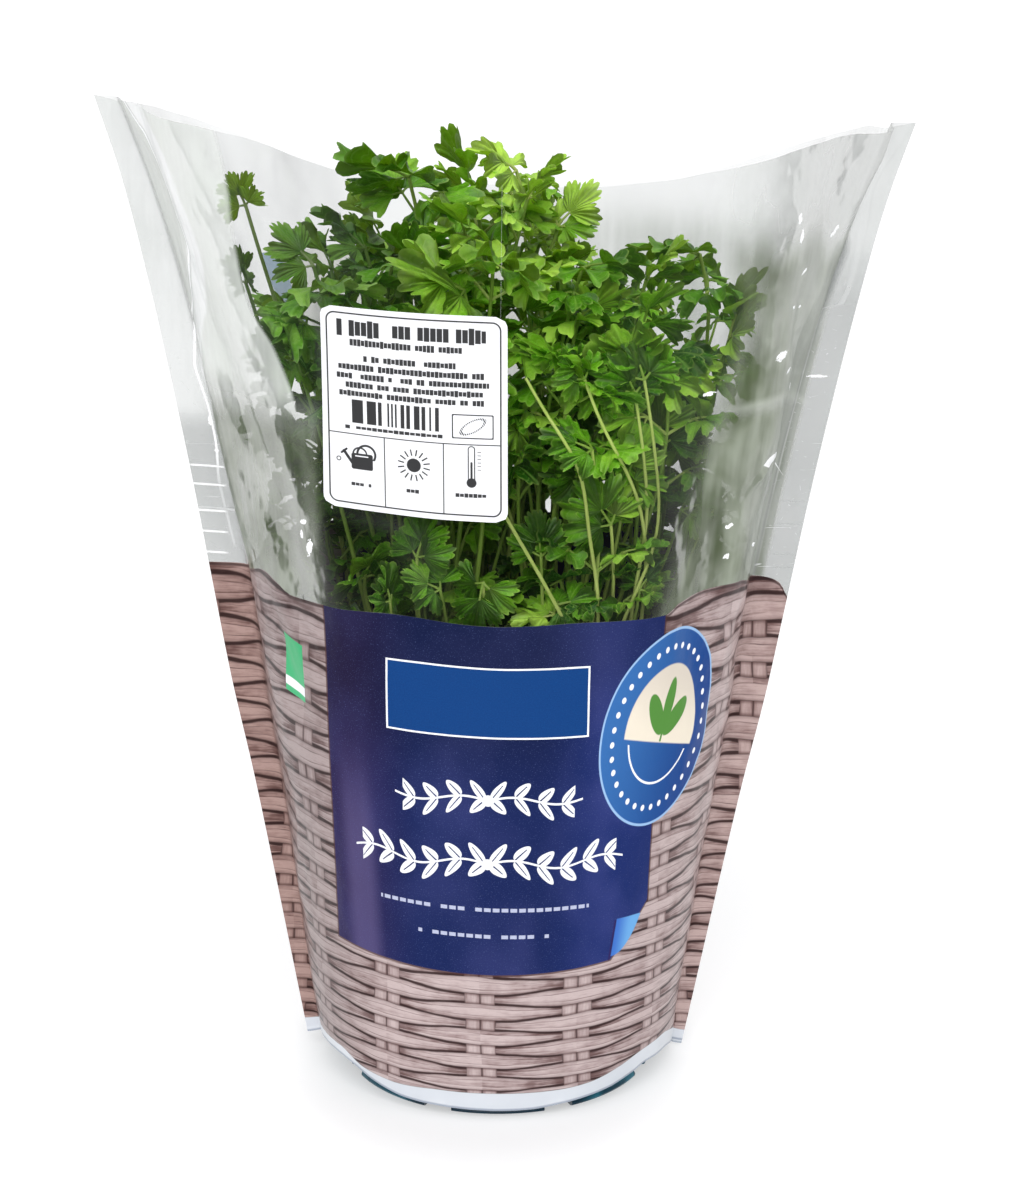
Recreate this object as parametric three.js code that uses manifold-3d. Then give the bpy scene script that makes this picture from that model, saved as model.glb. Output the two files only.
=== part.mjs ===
// A potted parsley plant as sold: a round plastic pot filled with a peat root
// ball, parsley seedlings growing from it, and an open clear film sleeve with a
// self-adhesive label round the whole. Millimetres, +Z up, origin at the centre
// of the pot's underside, +Y towards the back.
import * as THREE from "three";
import { mergeVertices } from "three/addons/utils/BufferGeometryUtils.js";
import Module from "manifold-3d";

// ---- driving dimensions -----------------------------------------------------
const POT_HEIGHT = 105;
const POT_FOOT_R = 47; // outer radius of the foot
const POT_SHOULDER_R = 58.4; // outer radius just below the rim band
const POT_RIM_R = 60; // outer radius of the rim band
const POT_RIM_H = 12; // height of the rim band
const POT_WALL = 1.3;
const POT_FLOOR = 1.8;
const DRAIN_SLOTS = 8; // slots round the corner of floor and wall
const DRAIN_W = 9;
const DRAIN_H = 3.6;
const DRAIN_INNER_R = 37;

const GAP = 0.35; // clearance between touching pieces
const SOIL_TOP = 92.6; // at the pot wall
const SOIL_CROWN = 93.0; // towards the middle

const SLEEVE_H = 294; // at the side seams
const SLEEVE_BOTTOM = 2.6; // lower edge above the ground
const FILM = 0.6; // modelled thickness of the film
const SEAM_GAP = 0.35; // between the two films in the welded side strips
const ROW_TILT = 0.0335; // the sleeve sits a little askew: its right side is lower
const LEAN = [-1.3, 3.7]; // sideways shift of the sleeve at its foot, and its gain by the top
// half width over the side seams, width of the flat seam strip, and depth of the
// front or back film, each as [height, value]
const HALF_WIDTH = [[0, 58.8], [30, 64.2], [60, 69.6], [90, 75.2], [120, 81.4], [150, 86.6], [180, 91.7], [210, 97.3], [240, 103.4], [270, 110.4], [298, 119.2]];
const SEAM_STRIP = [[0, 4.5], [40, 6.5], [100, 10], [160, 13], [220, 12.5], [298, 8]];
const DEPTH = [[0, 49.5], [50, 55], [93, 61.6], [105, 62.4], [160, 66], [270, 72], [298, 73]];
const ROUNDNESS = 1.95; // exponent of the rounded cross-section
// how far the top edge dips below the corners, by the share of the half width
const DIP_FRONT = [[0, 13], [0.2, 12.7], [0.36, 11.4], [0.47, 9.2], [0.6, 5.4], [0.72, 2.4], [0.85, 0.7], [1, 0]];
const DIP_BACK = [[0, 29.5], [0.2, 29.2], [0.44, 26.6], [0.57, 22.2], [0.72, 14.4], [0.82, 8], [0.9, 3.6], [0.95, 1.4], [1, 0]];

const LABEL_W = 50.6;
const LABEL_H = 57;
const LABEL_T = 0.35;
const LABEL_GAP = 0.55;
const LABEL_X = -22.2; // middle of the label
const LABEL_Z = 217.6;
const LABEL_CORNER = 3;

const STALK_R = 1.15; // radius of a leaf stalk at its foot
const STALK_TIP_R = 0.75;
const CROWN_R = 2.7; // where the stalks of one seedling meet
const CROWN_H = 5;
const LEAF_T = 0.8; // modelled thickness of a leaflet
const SIDE_ANGLE = 62; // degrees between the middle leaflet and the side ones
const TERMINAL_REACH = 0.42; // how far out the middle leaflet starts, in leaflet lengths

// ---- seedlings --------------------------------------------------------------
// Each row: the crown's x and y, then its leaves (fork x, y, z, heading, pitch,
// roll, leaflet length, bow x, bow y).
const SEEDLINGS = [
  [[-17.41, -35.51], [
    [-8.65, -31.89, 262.08, 256.58, 42.06, -6.7, 14.61, -3.91, 4.79],
    [-8.78, -52.77, 250.2, 220.25, 38.26, -37.23, 14.96, 9.52, -14],
    [-22.97, -43.39, 157.95, 261.91, 71.62, 45.84, 11.13, 4.61, -14],
  ]],
  [[21.52, -33.95], [
    [23.7, -41.07, 254.51, 343.84, 15.34, -2.01, 12.52, -14, 3.13],
    [22.8, -38.99, 240.04, 318.14, 28.67, -15.21, 12.17, 5.35, 0.18],
    [28.66, -53.57, 185.55, 83.34, -4.05, -43.38, 13.57, 2.73, -7.09],
  ]],
  [[-10.44, -28.69], [
    [-0.79, -49.64, 256.9, 280.24, 26.35, -30, 14.61, -10.5, -11.6],
    [9.58, -31.57, 235.45, 270.26, 69.42, -4.31, 13.22, -14, 4.48],
    [-0.67, -49.05, 158.58, 292.02, 47.93, -3.54, 10.78, -3.13, 6.07],
  ]],
  [[13.77, -29.6], [
    [18.33, -50.66, 228.36, 248.73, 48.11, -7.55, 13.57, -14, -8.75],
    [6.35, -48.61, 202.14, 280.18, 34.51, 43.25, 11.48, -0.51, 1.62],
    [18, -49.6, 167.29, 207.66, 26.91, 32.91, 11.48, 1.11, -14],
  ]],
  [[30.28, -28.77], [
    [40.65, -43.55, 239.12, 283.58, 42.78, 7.7, 12.52, -3.52, 6.15],
    [37.91, -45.49, 226.97, 245.87, 52, 13.04, 14.61, 5.62, -14],
    [48.02, -38.59, 219.83, 98.96, 29.33, 17.72, 13.91, -14, -9.01],
  ]],
  [[-27.13, -20.69], [
    [-24.89, -16.98, 276.52, 216.73, 34.64, 8.59, 15.3, 1.14, 4.11],
    [-46.24, -37.23, 247.01, 285.55, 14.82, -3.8, 14.96, 5.01, 14],
    [-54.62, -36.4, 223.03, 199.68, 71.62, 35.33, 14.61, -9.15, -2.14],
  ]],
  [[6.88, -20.52], [
    [17.34, -14.14, 262.19, 2.82, 59.78, 24.36, 10.5, 2.37, 0.6],
    [17.42, -15.27, 247.14, 275.77, 38.02, 16.95, 11.48, 10.35, -12.22],
    [12.67, -23.67, 217.62, 5.88, -25.78, 45.84, 13.57, -6.76, 3.94],
  ]],
  [[15.44, -20.89], [
    [42.19, -26.57, 249, 5.62, 58.77, -25.29, 10.5, 9.37, -0.81],
    [38.35, 5.02, 206.72, 254.33, -10.53, -19.7, 12.17, -12.54, -5.15],
    [46.34, -18.25, 161.21, 265.48, 27.38, 28.99, 11.48, 1.28, -14],
  ]],
  [[-20.57, -9.81], [
    [-52.27, -18.37, 251.53, 184.35, 56.49, -29.21, 14.96, -2.98, -1.92],
    [-53.75, -16.04, 160.42, 186.53, 57.2, 36.72, 11.48, -12.89, 14],
    [-50.07, -16.14, 174.81, 300.64, 48.93, -9.16, 10.5, 8.5, 2.05],
  ]],
  [[-7.81, -13.18], [
    [-29.29, -30.36, 253.75, 311.4, 29.24, -11.52, 14.96, -14, -14],
    [-23.51, -13.37, 237.13, 261.57, 69.39, -45.84, 11.48, 1.11, 6.9],
    [-38.03, -36.04, 164.15, 289.68, 47.38, 16.74, 11.48, 1.59, -7.15],
  ]],
  [[-7.1, -5.04], [
    [-6.65, -7.89, 270.83, 227.02, 60.19, -8.44, 13.91, -4.47, -1.61],
    [-10.87, 10.53, 206.8, 192.53, -14.26, 29.68, 11.34, 2.36, 14],
    [-8.13, -2.01, 172.56, 335.34, -0.12, -3.61, 14.29, 9.13, -4.82],
  ]],
  [[39.74, -8], [
    [66.97, -12.35, 229.1, 21.61, 71.62, -25.9, 14.61, 7.97, 0.36],
    [60.9, 3.4, 192.07, 292.56, 11.97, -18.02, 13.22, 8.92, 4.85],
    [58.75, -5.1, 169.83, 344.92, 23.88, 11.53, 10.5, -11.25, -1.25],
  ]],
  [[-42.67, 1.52], [
    [-72.2, -6.82, 267.17, 216.27, 59.16, 41.66, 10.5, 5.34, -2.92],
    [-72.75, -6.17, 244.39, 183.13, 71.62, 33.93, 10.5, -14, 14],
    [-61.65, -5.9, 198.89, 239.54, 29.12, -36.82, 12.17, -4.77, -6.75],
  ]],
  [[-26.9, 1.83], [
    [-38.82, -0.77, 215.34, 155.06, 6.76, 33.13, 14.85, 12.95, -1.22],
    [-48.72, 4.47, 246.96, 124.63, 56.8, 38.57, 11.96, -0.05, 3.22],
    [-54.63, 12.61, 191.14, 202.83, 42, 38.04, 12.54, -4.18, -7.96],
  ]],
  [[13.18, -2.57], [
    [8.58, -22.66, 270.81, 15.36, 61.52, -29.89, 10.5, -5.92, -9.65],
    [12.54, -2.66, 180.03, 216.68, 43.38, 37.88, 11.21, 5.71, -2.74],
    [7.25, 26.98, 198.34, 167.16, -25.72, -14.18, 11.15, -5.64, 9.49],
  ]],
  [[-24.73, 10.34], [
    [-38.55, 1.69, 253.44, 167.63, 45.44, -0.98, 12.17, -1.06, -7.2],
    [-52.35, 13.37, 224.83, 158.18, 41.55, 12.58, 15.63, -11.43, -5.35],
    [-32.21, 13.31, 224.43, 199.18, 4.3, 22.68, 12.5, -8.12, -15.75],
  ]],
  [[-9.68, 12.5], [
    [-33.03, 14.51, 187.39, 89.01, -7.98, 7.1, 11.57, 1.66, -0.85],
    [-21.6, 47.22, 148.98, 200.26, 9.61, -8.9, 11.19, 1.1, 14],
    [-49.67, 24.89, 167.17, 240.35, 67.4, 29.17, 11.64, -4.87, -7.29],
  ]],
  [[0.27, 4.76], [
    [5.53, 3.77, 275.86, 202.14, 38.01, -33.51, 10.5, 5.28, -2.51],
    [8.14, 14.04, 255.4, 113.11, 67.96, -16.1, 12.28, -6.8, 13.53],
    [-9.45, 11.57, 129.07, 142.63, 71.62, 28.27, 15.16, -2.24, 5.12],
  ]],
  [[-20.45, 19.54], [
    [-34.61, 21.97, 252.66, 201.71, 65.82, 1.52, 13.68, 7.36, 4.14],
    [-39.54, 38.63, 219.65, 178.79, -9.91, -3.33, 12.68, 4.33, 3.08],
    [-46.87, 32.1, 192.2, 212.86, 69.14, -35.63, 13.75, 5.56, 14],
  ]],
  [[14.45, 25.76], [
    [29.52, 34.03, 209.72, 219.49, 71.62, 35.54, 11.11, 1.7, -5.25],
    [30.06, 11.14, 236.71, 29.51, -21.48, -45.84, 13.89, 10.59, -11.26],
    [28.48, 41.67, 176.66, 70.48, 51.54, 20.92, 14.4, 12.75, -5.37],
  ]],
  [[-1.42, 37.95], [
    [-19.22, 33.52, 246.45, 9.88, 24.94, 29.79, 13.3, -9, -13.72],
    [-11.63, 45.16, 143.91, 50.39, -15.25, 1.77, 10.58, -1.89, -5.35],
    [9.61, 37.34, 124.67, 32.94, 62.01, 33.24, 12.13, 14, -9.68],
  ]],
  [[26.59, 33.05], [
    [24.34, 22.85, 223.35, 134.59, 68.15, -20.96, 12.08, 2.77, -14],
    [47.99, 23.38, 202.1, 13.3, 20.23, 26.3, 12.71, 3.42, -3.67],
    [59.28, 3.23, 251.46, 174.06, 9.91, 24.62, 13.7, -9.75, -9.14],
  ]],
];

// ---- helpers ----------------------------------------------------------------
const wasm = await Module();
wasm.setup();

// A closed geometry as a solid.
function solid(geometry) {
  const g = geometry.clone();
  g.deleteAttribute("normal");
  g.deleteAttribute("uv");
  const m = mergeVertices(g, 1e-4);
  return new wasm.Manifold(
    new wasm.Mesh({
      numProp: 3,
      vertProperties: new Float32Array(m.attributes.position.array),
      triVerts: new Uint32Array(m.index.array),
    }),
  );
}

// A solid as a geometry.
function geometryOf(s) {
  const m = s.getMesh();
  const v = new Float32Array(m.numVert * 3);
  for (let i = 0; i < m.numVert; i++)
    v.set(m.vertProperties.subarray(i * m.numProp, i * m.numProp + 3), i * 3);
  const g = new THREE.BufferGeometry();
  g.setAttribute("position", new THREE.BufferAttribute(v, 3));
  g.setIndex(new THREE.BufferAttribute(new Uint32Array(m.triVerts), 1));
  g.computeVertexNormals();
  return g;
}

// Piecewise linear value of a table of [place, value].
function at(table, x) {
  if (x <= table[0][0]) return table[0][1];
  for (let i = 1; i < table.length; i++)
    if (x <= table[i][0]) {
      const [a, b] = [table[i - 1], table[i]];
      return a[1] + ((b[1] - a[1]) * (x - a[0])) / (b[0] - a[0]);
    }
  return table[table.length - 1][1];
}

// A lathe round Z from [radius, height] pairs.
function lathe(profile, segments, phase = 0) {
  const g = new THREE.LatheGeometry(
    profile.map(([r, z]) => new THREE.Vector2(r, z)),
    segments,
    phase,
  );
  g.rotateX(Math.PI / 2); // LatheGeometry turns round Y
  return g;
}

function named(name, geometry, material) {
  const mesh = new THREE.Mesh(geometry, material);
  mesh.name = name;
  return mesh;
}

const matte = (color, roughness, extra = {}) =>
  new THREE.MeshStandardMaterial({ color, roughness, metalness: 0, ...extra });

// ---- pot --------------------------------------------------------------------
// outer wall radius below the rim band
const potOuter = (z) =>
  POT_FOOT_R + ((POT_SHOULDER_R - POT_FOOT_R) * z) / (POT_HEIGHT - POT_RIM_H);

function makePot() {
  const shoulder = POT_HEIGHT - POT_RIM_H;
  const profile = [
    [0, 0],
    [POT_FOOT_R - 1.2, 0],
    [POT_FOOT_R, 1.2],
    [POT_SHOULDER_R, shoulder - 1.2],
    [POT_RIM_R, shoulder],
    [POT_RIM_R, POT_HEIGHT - 0.8],
    [POT_RIM_R - 0.8, POT_HEIGHT],
    [POT_RIM_R - POT_WALL, POT_HEIGHT],
    [POT_SHOULDER_R - POT_WALL, shoulder - 1.6],
    [potOuter(POT_FLOOR) - POT_WALL, POT_FLOOR],
    [0, POT_FLOOR],
  ];
  let pot = solid(lathe(profile, 40));
  for (let i = 0; i < DRAIN_SLOTS; i++) {
    const slot = new THREE.BoxGeometry(16, DRAIN_W, DRAIN_H * 2);
    slot.translate(DRAIN_INNER_R + 8, 0, 0);
    slot.rotateZ(((i + 0.5) * 2 * Math.PI) / DRAIN_SLOTS);
    pot = pot.subtract(solid(slot));
  }
  return geometryOf(pot);
}

// ---- root ball --------------------------------------------------------------
function makeSoil() {
  const inner = (z) => potOuter(z) - POT_WALL - GAP;
  const top = SOIL_TOP;
  return lathe(
    [
      [0, POT_FLOOR + GAP],
      [inner(POT_FLOOR) - 1.5, POT_FLOOR + GAP],
      [inner(5) - 0.1, 5],
      [inner(top - 6), top - 6],
      [inner(top - 6) - 2.2, top - 0.8],
      [44, top],
      [22, SOIL_CROWN],
      [0, SOIL_CROWN],
    ],
    24,
  );
}

// ---- film sleeve ------------------------------------------------------------
// The outline of one film at one height, seen from above, as points from the left
// seam edge to the right one: flat seam strip, rounded body, flat seam strip.
const SECTION_STEPS = 160;
function sectionLine(z) {
  const c = at(HALF_WIDTH, z);
  const w = at(SEAM_STRIP, z);
  const a = c - w;
  const b = at(DEPTH, z);
  const raw = [];
  for (let i = 0; i <= 12; i++) raw.push([-c + (w * i) / 12, 0]);
  for (let i = 1; i <= SECTION_STEPS / 2; i++) {
    const t = (Math.PI / 2) * (i / (SECTION_STEPS / 2));
    raw.push([
      -a * Math.pow(Math.cos(t), 2 / ROUNDNESS),
      b * Math.pow(Math.sin(t), 2 / ROUNDNESS),
    ]);
  }
  // points at even distances, then eased where the body leaves the strip
  const even = resample(raw, 120);
  const ease = Math.max(1, Math.round((0.42 * w) / (length(raw) / 120)));
  let line = even;
  for (let k = 0; k < ease * ease; k++)
    line = line.map((p, i) =>
      i === 0 || i === line.length - 1
        ? p
        : [
            (line[i - 1][0] + 2 * p[0] + line[i + 1][0]) / 4,
            (line[i - 1][1] + 2 * p[1] + line[i + 1][1]) / 4,
          ],
    );
  return [...line, ...line.slice(0, -1).reverse().map(([x, y]) => [-x, y])];
}

function length(line) {
  let s = 0;
  for (let i = 1; i < line.length; i++)
    s += Math.hypot(line[i][0] - line[i - 1][0], line[i][1] - line[i - 1][1]);
  return s;
}

function resample(line, n) {
  const total = length(line);
  const out = [line[0]];
  let i = 1;
  let done = 0;
  for (let k = 1; k < n; k++) {
    const want = (total * k) / n;
    for (;;) {
      const step = Math.hypot(line[i][0] - line[i - 1][0], line[i][1] - line[i - 1][1]);
      if (done + step >= want || i === line.length - 1) {
        const t = Math.min(1, (want - done) / (step || 1));
        out.push([
          line[i - 1][0] + (line[i][0] - line[i - 1][0]) * t,
          line[i - 1][1] + (line[i][1] - line[i - 1][1]) * t,
        ]);
        break;
      }
      done += step;
      i++;
    }
  }
  out.push(line[line.length - 1]);
  return out;
}

const sections = new Map();
function section(z) {
  const key = Math.round(z * 10);
  if (!sections.has(key)) sections.set(key, sectionLine(key / 10));
  return sections.get(key);
}

// A point of the film: u from -1 (left seam) to 1, z in the sleeve's own frame,
// side -1 for the front film and 1 for the back one, out for the distance
// outwards from the film's inner face.
function filmPoint(u, z, side, out) {
  const line = section(z);
  const f = ((u + 1) / 2) * (line.length - 1);
  const i = Math.min(line.length - 2, Math.floor(f));
  const t = f - i;
  const [p, q] = [line[i], line[i + 1]];
  const x = p[0] + (q[0] - p[0]) * t;
  const y = p[1] + (q[1] - p[1]) * t;
  const [tx, ty] = [q[0] - p[0], q[1] - p[1]];
  const n = Math.hypot(tx, ty);
  const nx = -ty / n;
  const ny = tx / n; // outwards, for y growing away from the axis
  const X = x + nx * out;
  const Y = y + ny * out + SEAM_GAP / 2;
  return new THREE.Vector3(
    X + LEAN[0] + (LEAN[1] * z) / SLEEVE_H,
    side * Y,
    z - ROW_TILT * X,
  );
}

// Height of a row at one place across: rows are level low down and follow the
// dipped top edge higher up.
function rowHeight(z, u, side) {
  const line = section(z);
  const x = line[Math.round(((u + 1) / 2) * (line.length - 1))][0];
  const share = Math.min(1, Math.abs(x) / at(HALF_WIDTH, z));
  const k = Math.max(0, (z - 200) / (SLEEVE_H - 200));
  return z - at(side < 0 ? DIP_FRONT : DIP_BACK, share) * k * k * (3 - 2 * k);
}

// A thin closed sheet over a grid of places: inner and outer faces joined at the rim.
function sheet(place, nu, nv, thickness, flip) {
  const pos = [];
  const index = [];
  const id = (layer, i, j) => layer * (nu + 1) * (nv + 1) + j * (nu + 1) + i;
  for (const out of [0, thickness])
    for (let j = 0; j <= nv; j++)
      for (let i = 0; i <= nu; i++) pos.push(...place(i, j, out).toArray());
  const tri = (a, b, c) => (flip ? index.push(a, c, b) : index.push(a, b, c));
  const quad = (a, b, c, d) => {
    tri(a, b, c);
    tri(a, c, d);
  };
  for (let j = 0; j < nv; j++)
    for (let i = 0; i < nu; i++) {
      quad(id(1, i, j), id(1, i + 1, j), id(1, i + 1, j + 1), id(1, i, j + 1));
      quad(id(0, i, j), id(0, i, j + 1), id(0, i + 1, j + 1), id(0, i + 1, j));
    }
  for (let i = 0; i < nu; i++) {
    quad(id(0, i, 0), id(0, i + 1, 0), id(1, i + 1, 0), id(1, i, 0));
    quad(id(0, i + 1, nv), id(0, i, nv), id(1, i, nv), id(1, i + 1, nv));
  }
  for (let j = 0; j < nv; j++) {
    quad(id(0, 0, j + 1), id(0, 0, j), id(1, 0, j), id(1, 0, j + 1));
    quad(id(0, nu, j), id(0, nu, j + 1), id(1, nu, j + 1), id(1, nu, j));
  }
  const g = new THREE.BufferGeometry();
  g.setAttribute("position", new THREE.Float32BufferAttribute(pos, 3));
  g.setIndex(index);
  g.computeVertexNormals();
  return g;
}

// More columns near the seam strips, where the film bends most.
const COLUMNS = [-1, -0.94, -0.88, -0.83, -0.78, -0.72, -0.65, -0.57, -0.48, -0.38, -0.27, -0.14, 0, 0.14, 0.27, 0.38, 0.48, 0.57, 0.65, 0.72, 0.78, 0.83, 0.88, 0.94, 1];
const ROWS = [SLEEVE_BOTTOM, 30, 60, 93, 112, 150, 190, 222, 246, 266, 281, SLEEVE_H];

// Height of the hem by the share across: low in the middle, higher over the
// pot's shoulders, low again at the seams.
const HEM_FRONT = [[-1, 3.3], [-0.94, 4.5], [-0.88, 6.4], [-0.83, 7.8], [-0.72, 9], [-0.57, 9.5], [-0.48, 6.9], [-0.38, 2.9], [-0.27, 2.6], [0.27, 2.6], [0.38, 3.4], [0.48, 6.2], [0.57, 9.8], [0.65, 10.9], [0.72, 10.3], [0.83, 8.3], [0.94, 4.7], [1, 3.6]];
const HEM_BACK = [[-1, 4.6], [-0.88, 5.9], [-0.78, 6.5], [-0.57, 6.8], [-0.48, 4.9], [-0.38, 3], [-0.14, 2.6], [0.27, 2.9], [0.38, 3.2], [0.48, 4.7], [0.57, 7.5], [0.72, 7.3], [0.83, 6.2], [0.94, 3.6], [1, 2.8]];

function makeFilm(side) {
  return sheet(
    (i, j, out) => {
      const u = COLUMNS[i];
      if (j === 0) return filmPoint(u, at(side < 0 ? HEM_FRONT : HEM_BACK, u), side, out);
      return filmPoint(u, rowHeight(ROWS[j], u, side), side, out);
    },
    COLUMNS.length - 1,
    ROWS.length - 1,
    FILM,
    side > 0,
  );
}

// ---- label ------------------------------------------------------------------
// The share across the front film where its inner face stands at a given x.
function shareAt(x, z) {
  let [lo, hi] = [-0.9, 0.9];
  for (let k = 0; k < 40; k++) {
    const mid = (lo + hi) / 2;
    if (filmPoint(mid, z, -1, 0).x < x) lo = mid;
    else hi = mid;
  }
  return (lo + hi) / 2;
}

function makeLabel() {
  const c = LABEL_CORNER;
  const across = [0, 0.18, 0.34, 0.5, 0.66, 0.82, 1];
  const up = [0, c * 0.25, c, LABEL_H * 0.35, LABEL_H * 0.65, LABEL_H - c, LABEL_H - c * 0.25, LABEL_H];
  return sheet(
    (i, j, out) => {
      // rows near the top and bottom edge are shorter, for the rounded corners
      const e = Math.min(up[j], LABEL_H - up[j]);
      const inset = e < c ? c - Math.sqrt(c * c - (c - e) * (c - e)) : 0;
      const x = inset + (LABEL_W - 2 * inset) * across[i];
      const z = LABEL_Z - LABEL_H / 2 + up[j];
      return filmPoint(shareAt(LABEL_X - LABEL_W / 2 + x, z), z, -1, FILM + LABEL_GAP + out);
    },
    across.length - 1,
    up.length - 1,
    LABEL_T,
    false,
  );
}

// ---- parsley ----------------------------------------------------------------
// One row of a seedling's table is one leaf: the fork of its stalk (x, y, z), the
// heading, pitch and roll of its blade in degrees, the length of a leaflet, and
// how far the stalk bows sideways low down.
const rad = (d) => (d * Math.PI) / 180;
const SOIL_START = SOIL_CROWN + GAP;

function leafAxes([, , , heading, pitch, roll]) {
  const d = new THREE.Vector3(
    Math.cos(rad(heading)) * Math.cos(rad(pitch)),
    Math.sin(rad(heading)) * Math.cos(rad(pitch)),
    Math.sin(rad(pitch)),
  );
  const s0 = new THREE.Vector3(-Math.sin(rad(heading)), Math.cos(rad(heading)), 0);
  const n0 = new THREE.Vector3().crossVectors(d, s0);
  const s = s0.clone().multiplyScalar(Math.cos(rad(roll))).addScaledVector(n0, Math.sin(rad(roll)));
  const n = n0.clone().multiplyScalar(Math.cos(rad(roll))).addScaledVector(s0, -Math.sin(rad(roll)));
  return { d, s, n };
}

function stalk(crown, leaf) {
  const [nx, ny, nz, heading, , , , bx, by] = leaf;
  const n = new THREE.Vector3(nx, ny, nz);
  const out = new THREE.Vector2(nx - crown[0], ny - crown[1]);
  out.normalize();
  const b = new THREE.Vector3(crown[0] + 1.6 * out.x, crown[1] + 1.6 * out.y, SOIL_START + 1.6);
  const h = nz - SOIL_CROWN - 0.3;
  const e = new THREE.Vector3(0.3 * Math.cos(rad(heading)), 0.3 * Math.sin(rad(heading)), 1).normalize();
  const curve = new THREE.CubicBezierCurve3(
    b,
    new THREE.Vector3(b.x + bx, b.y + by, b.z + 0.42 * h),
    n.clone().addScaledVector(e, -0.36 * h),
    n.clone().addScaledVector(e, 0.6),
  );
  const square = new THREE.Shape();
  const r = (STALK_R + STALK_TIP_R) / 2;
  square.moveTo(r, 0);
  square.lineTo(0, r);
  square.lineTo(-r, 0);
  square.lineTo(0, -r);
  square.closePath();
  return new THREE.ExtrudeGeometry(square, { steps: 4, extrudePath: curve, bevelEnabled: false });
}

// A whole leaf blade, flat in XY: three three-lobed leaflets on short stalks, the
// middle one further out along +X.
function blade(L) {
  const w = 0.75;
  const outline = [[-1.4, -w]];
  for (const turn of [-1, 0, 1]) {
    const base = turn === 0 ? TERMINAL_REACH * L : 0;
    const [c, s] = [Math.cos(rad(turn * SIDE_ANGLE)), Math.sin(rad(turn * SIDE_ANGLE))];
    const points = [
      [0.3 * L, -w],
      [0.5 * L, -0.44 * L],
      [0.92 * L, -0.24 * L],
      [0.92 * L, 0.24 * L],
      [0.5 * L, 0.44 * L],
      [0.3 * L, w],
    ];
    for (const [x, y] of points) outline.push([base + x * c - y * s, x * s + y * c]);
    if (turn < 1) outline.push([1.25, turn < 0 ? -w : w]);
  }
  outline.push([-1.4, w]);
  const shape = new THREE.Shape(outline.map(([x, y]) => new THREE.Vector2(x, y)));
  const g = new THREE.ExtrudeGeometry(shape, { depth: LEAF_T, steps: 1, bevelEnabled: false });
  g.translate(0, 0, -LEAF_T / 2);
  return g;
}

function makeSeedling([crown, leaves]) {
  const foot = lathe([[0, 0], [CROWN_R * 0.8, 0], [CROWN_R, 1.2], [1.5, CROWN_H], [0, CROWN_H]], 6);
  foot.translate(crown[0], crown[1], SOIL_START);
  let body = solid(foot);
  for (const leaf of leaves) {
    const { d, s, n } = leafAxes(leaf);
    const g = blade(leaf[6]);
    g.applyMatrix4(new THREE.Matrix4().makeBasis(d, s, n).setPosition(leaf[0], leaf[1], leaf[2]));
    body = body.add(solid(stalk(crown, leaf))).add(solid(g));
  }
  return geometryOf(body);
}

// ---- the whole --------------------------------------------------------------
const whole = new THREE.Group();
whole.name = "potted_parsley";
whole.add(named("pot", makePot(), matte(0x1f7f93, 0.45)));
whole.add(named("root_ball", makeSoil(), matte(0x2c1d14, 0.95)));
const plants = new THREE.Group();
SEEDLINGS.forEach((row, i) => {
  const shade = new THREE.Color().setHSL(0.26 + 0.02 * ((i * 7) % 5) * 0.25, 0.62, 0.24 + 0.02 * (i % 4));
  plants.add(
    named("seedling_" + String(i + 1).padStart(2, "0"), makeSeedling(row), matte(shade, 0.55, { side: THREE.DoubleSide })),
  );
});
whole.add(plants);
const film = { transparent: true, opacity: 0.35 };
whole.add(named("sleeve_front", makeFilm(-1), matte(0xd9dcdb, 0.12, film)));
whole.add(named("sleeve_back", makeFilm(1), matte(0xd5d9d8, 0.12, film)));
whole.add(named("label", makeLabel(), matte(0xf6f7fa, 0.4)));

export default whole;
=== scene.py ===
import math

import bpy
import numpy as np
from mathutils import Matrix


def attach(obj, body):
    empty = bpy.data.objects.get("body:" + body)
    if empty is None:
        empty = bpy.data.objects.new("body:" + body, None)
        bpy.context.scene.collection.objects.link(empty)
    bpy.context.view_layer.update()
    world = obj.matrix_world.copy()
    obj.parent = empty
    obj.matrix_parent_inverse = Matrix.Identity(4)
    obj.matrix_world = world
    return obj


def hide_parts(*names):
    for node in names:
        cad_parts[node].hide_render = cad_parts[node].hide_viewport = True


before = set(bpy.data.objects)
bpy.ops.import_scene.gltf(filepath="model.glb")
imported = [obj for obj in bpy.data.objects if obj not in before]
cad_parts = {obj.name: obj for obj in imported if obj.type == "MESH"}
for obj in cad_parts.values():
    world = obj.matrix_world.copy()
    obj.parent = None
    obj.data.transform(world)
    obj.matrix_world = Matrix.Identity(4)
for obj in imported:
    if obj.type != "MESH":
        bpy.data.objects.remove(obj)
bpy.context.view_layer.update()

MM = 0.001

# ---------------------------------------------------------------- camera
cam = bpy.data.cameras.new("camera")
cam_ob = bpy.data.objects.new("camera", cam)
bpy.context.scene.collection.objects.link(cam_ob)
cam_ob.location = (0.0047, -0.760, 0.366)
cam_ob.rotation_euler = (math.radians(90 - 16.05), 0, 0)
cam.sensor_fit = "HORIZONTAL"
cam.sensor_width = 36
cam.lens = 2616 / 1027 * 36
cam.clip_start = 0.01
cam.clip_end = 100
bpy.context.scene.camera = cam_ob

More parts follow.
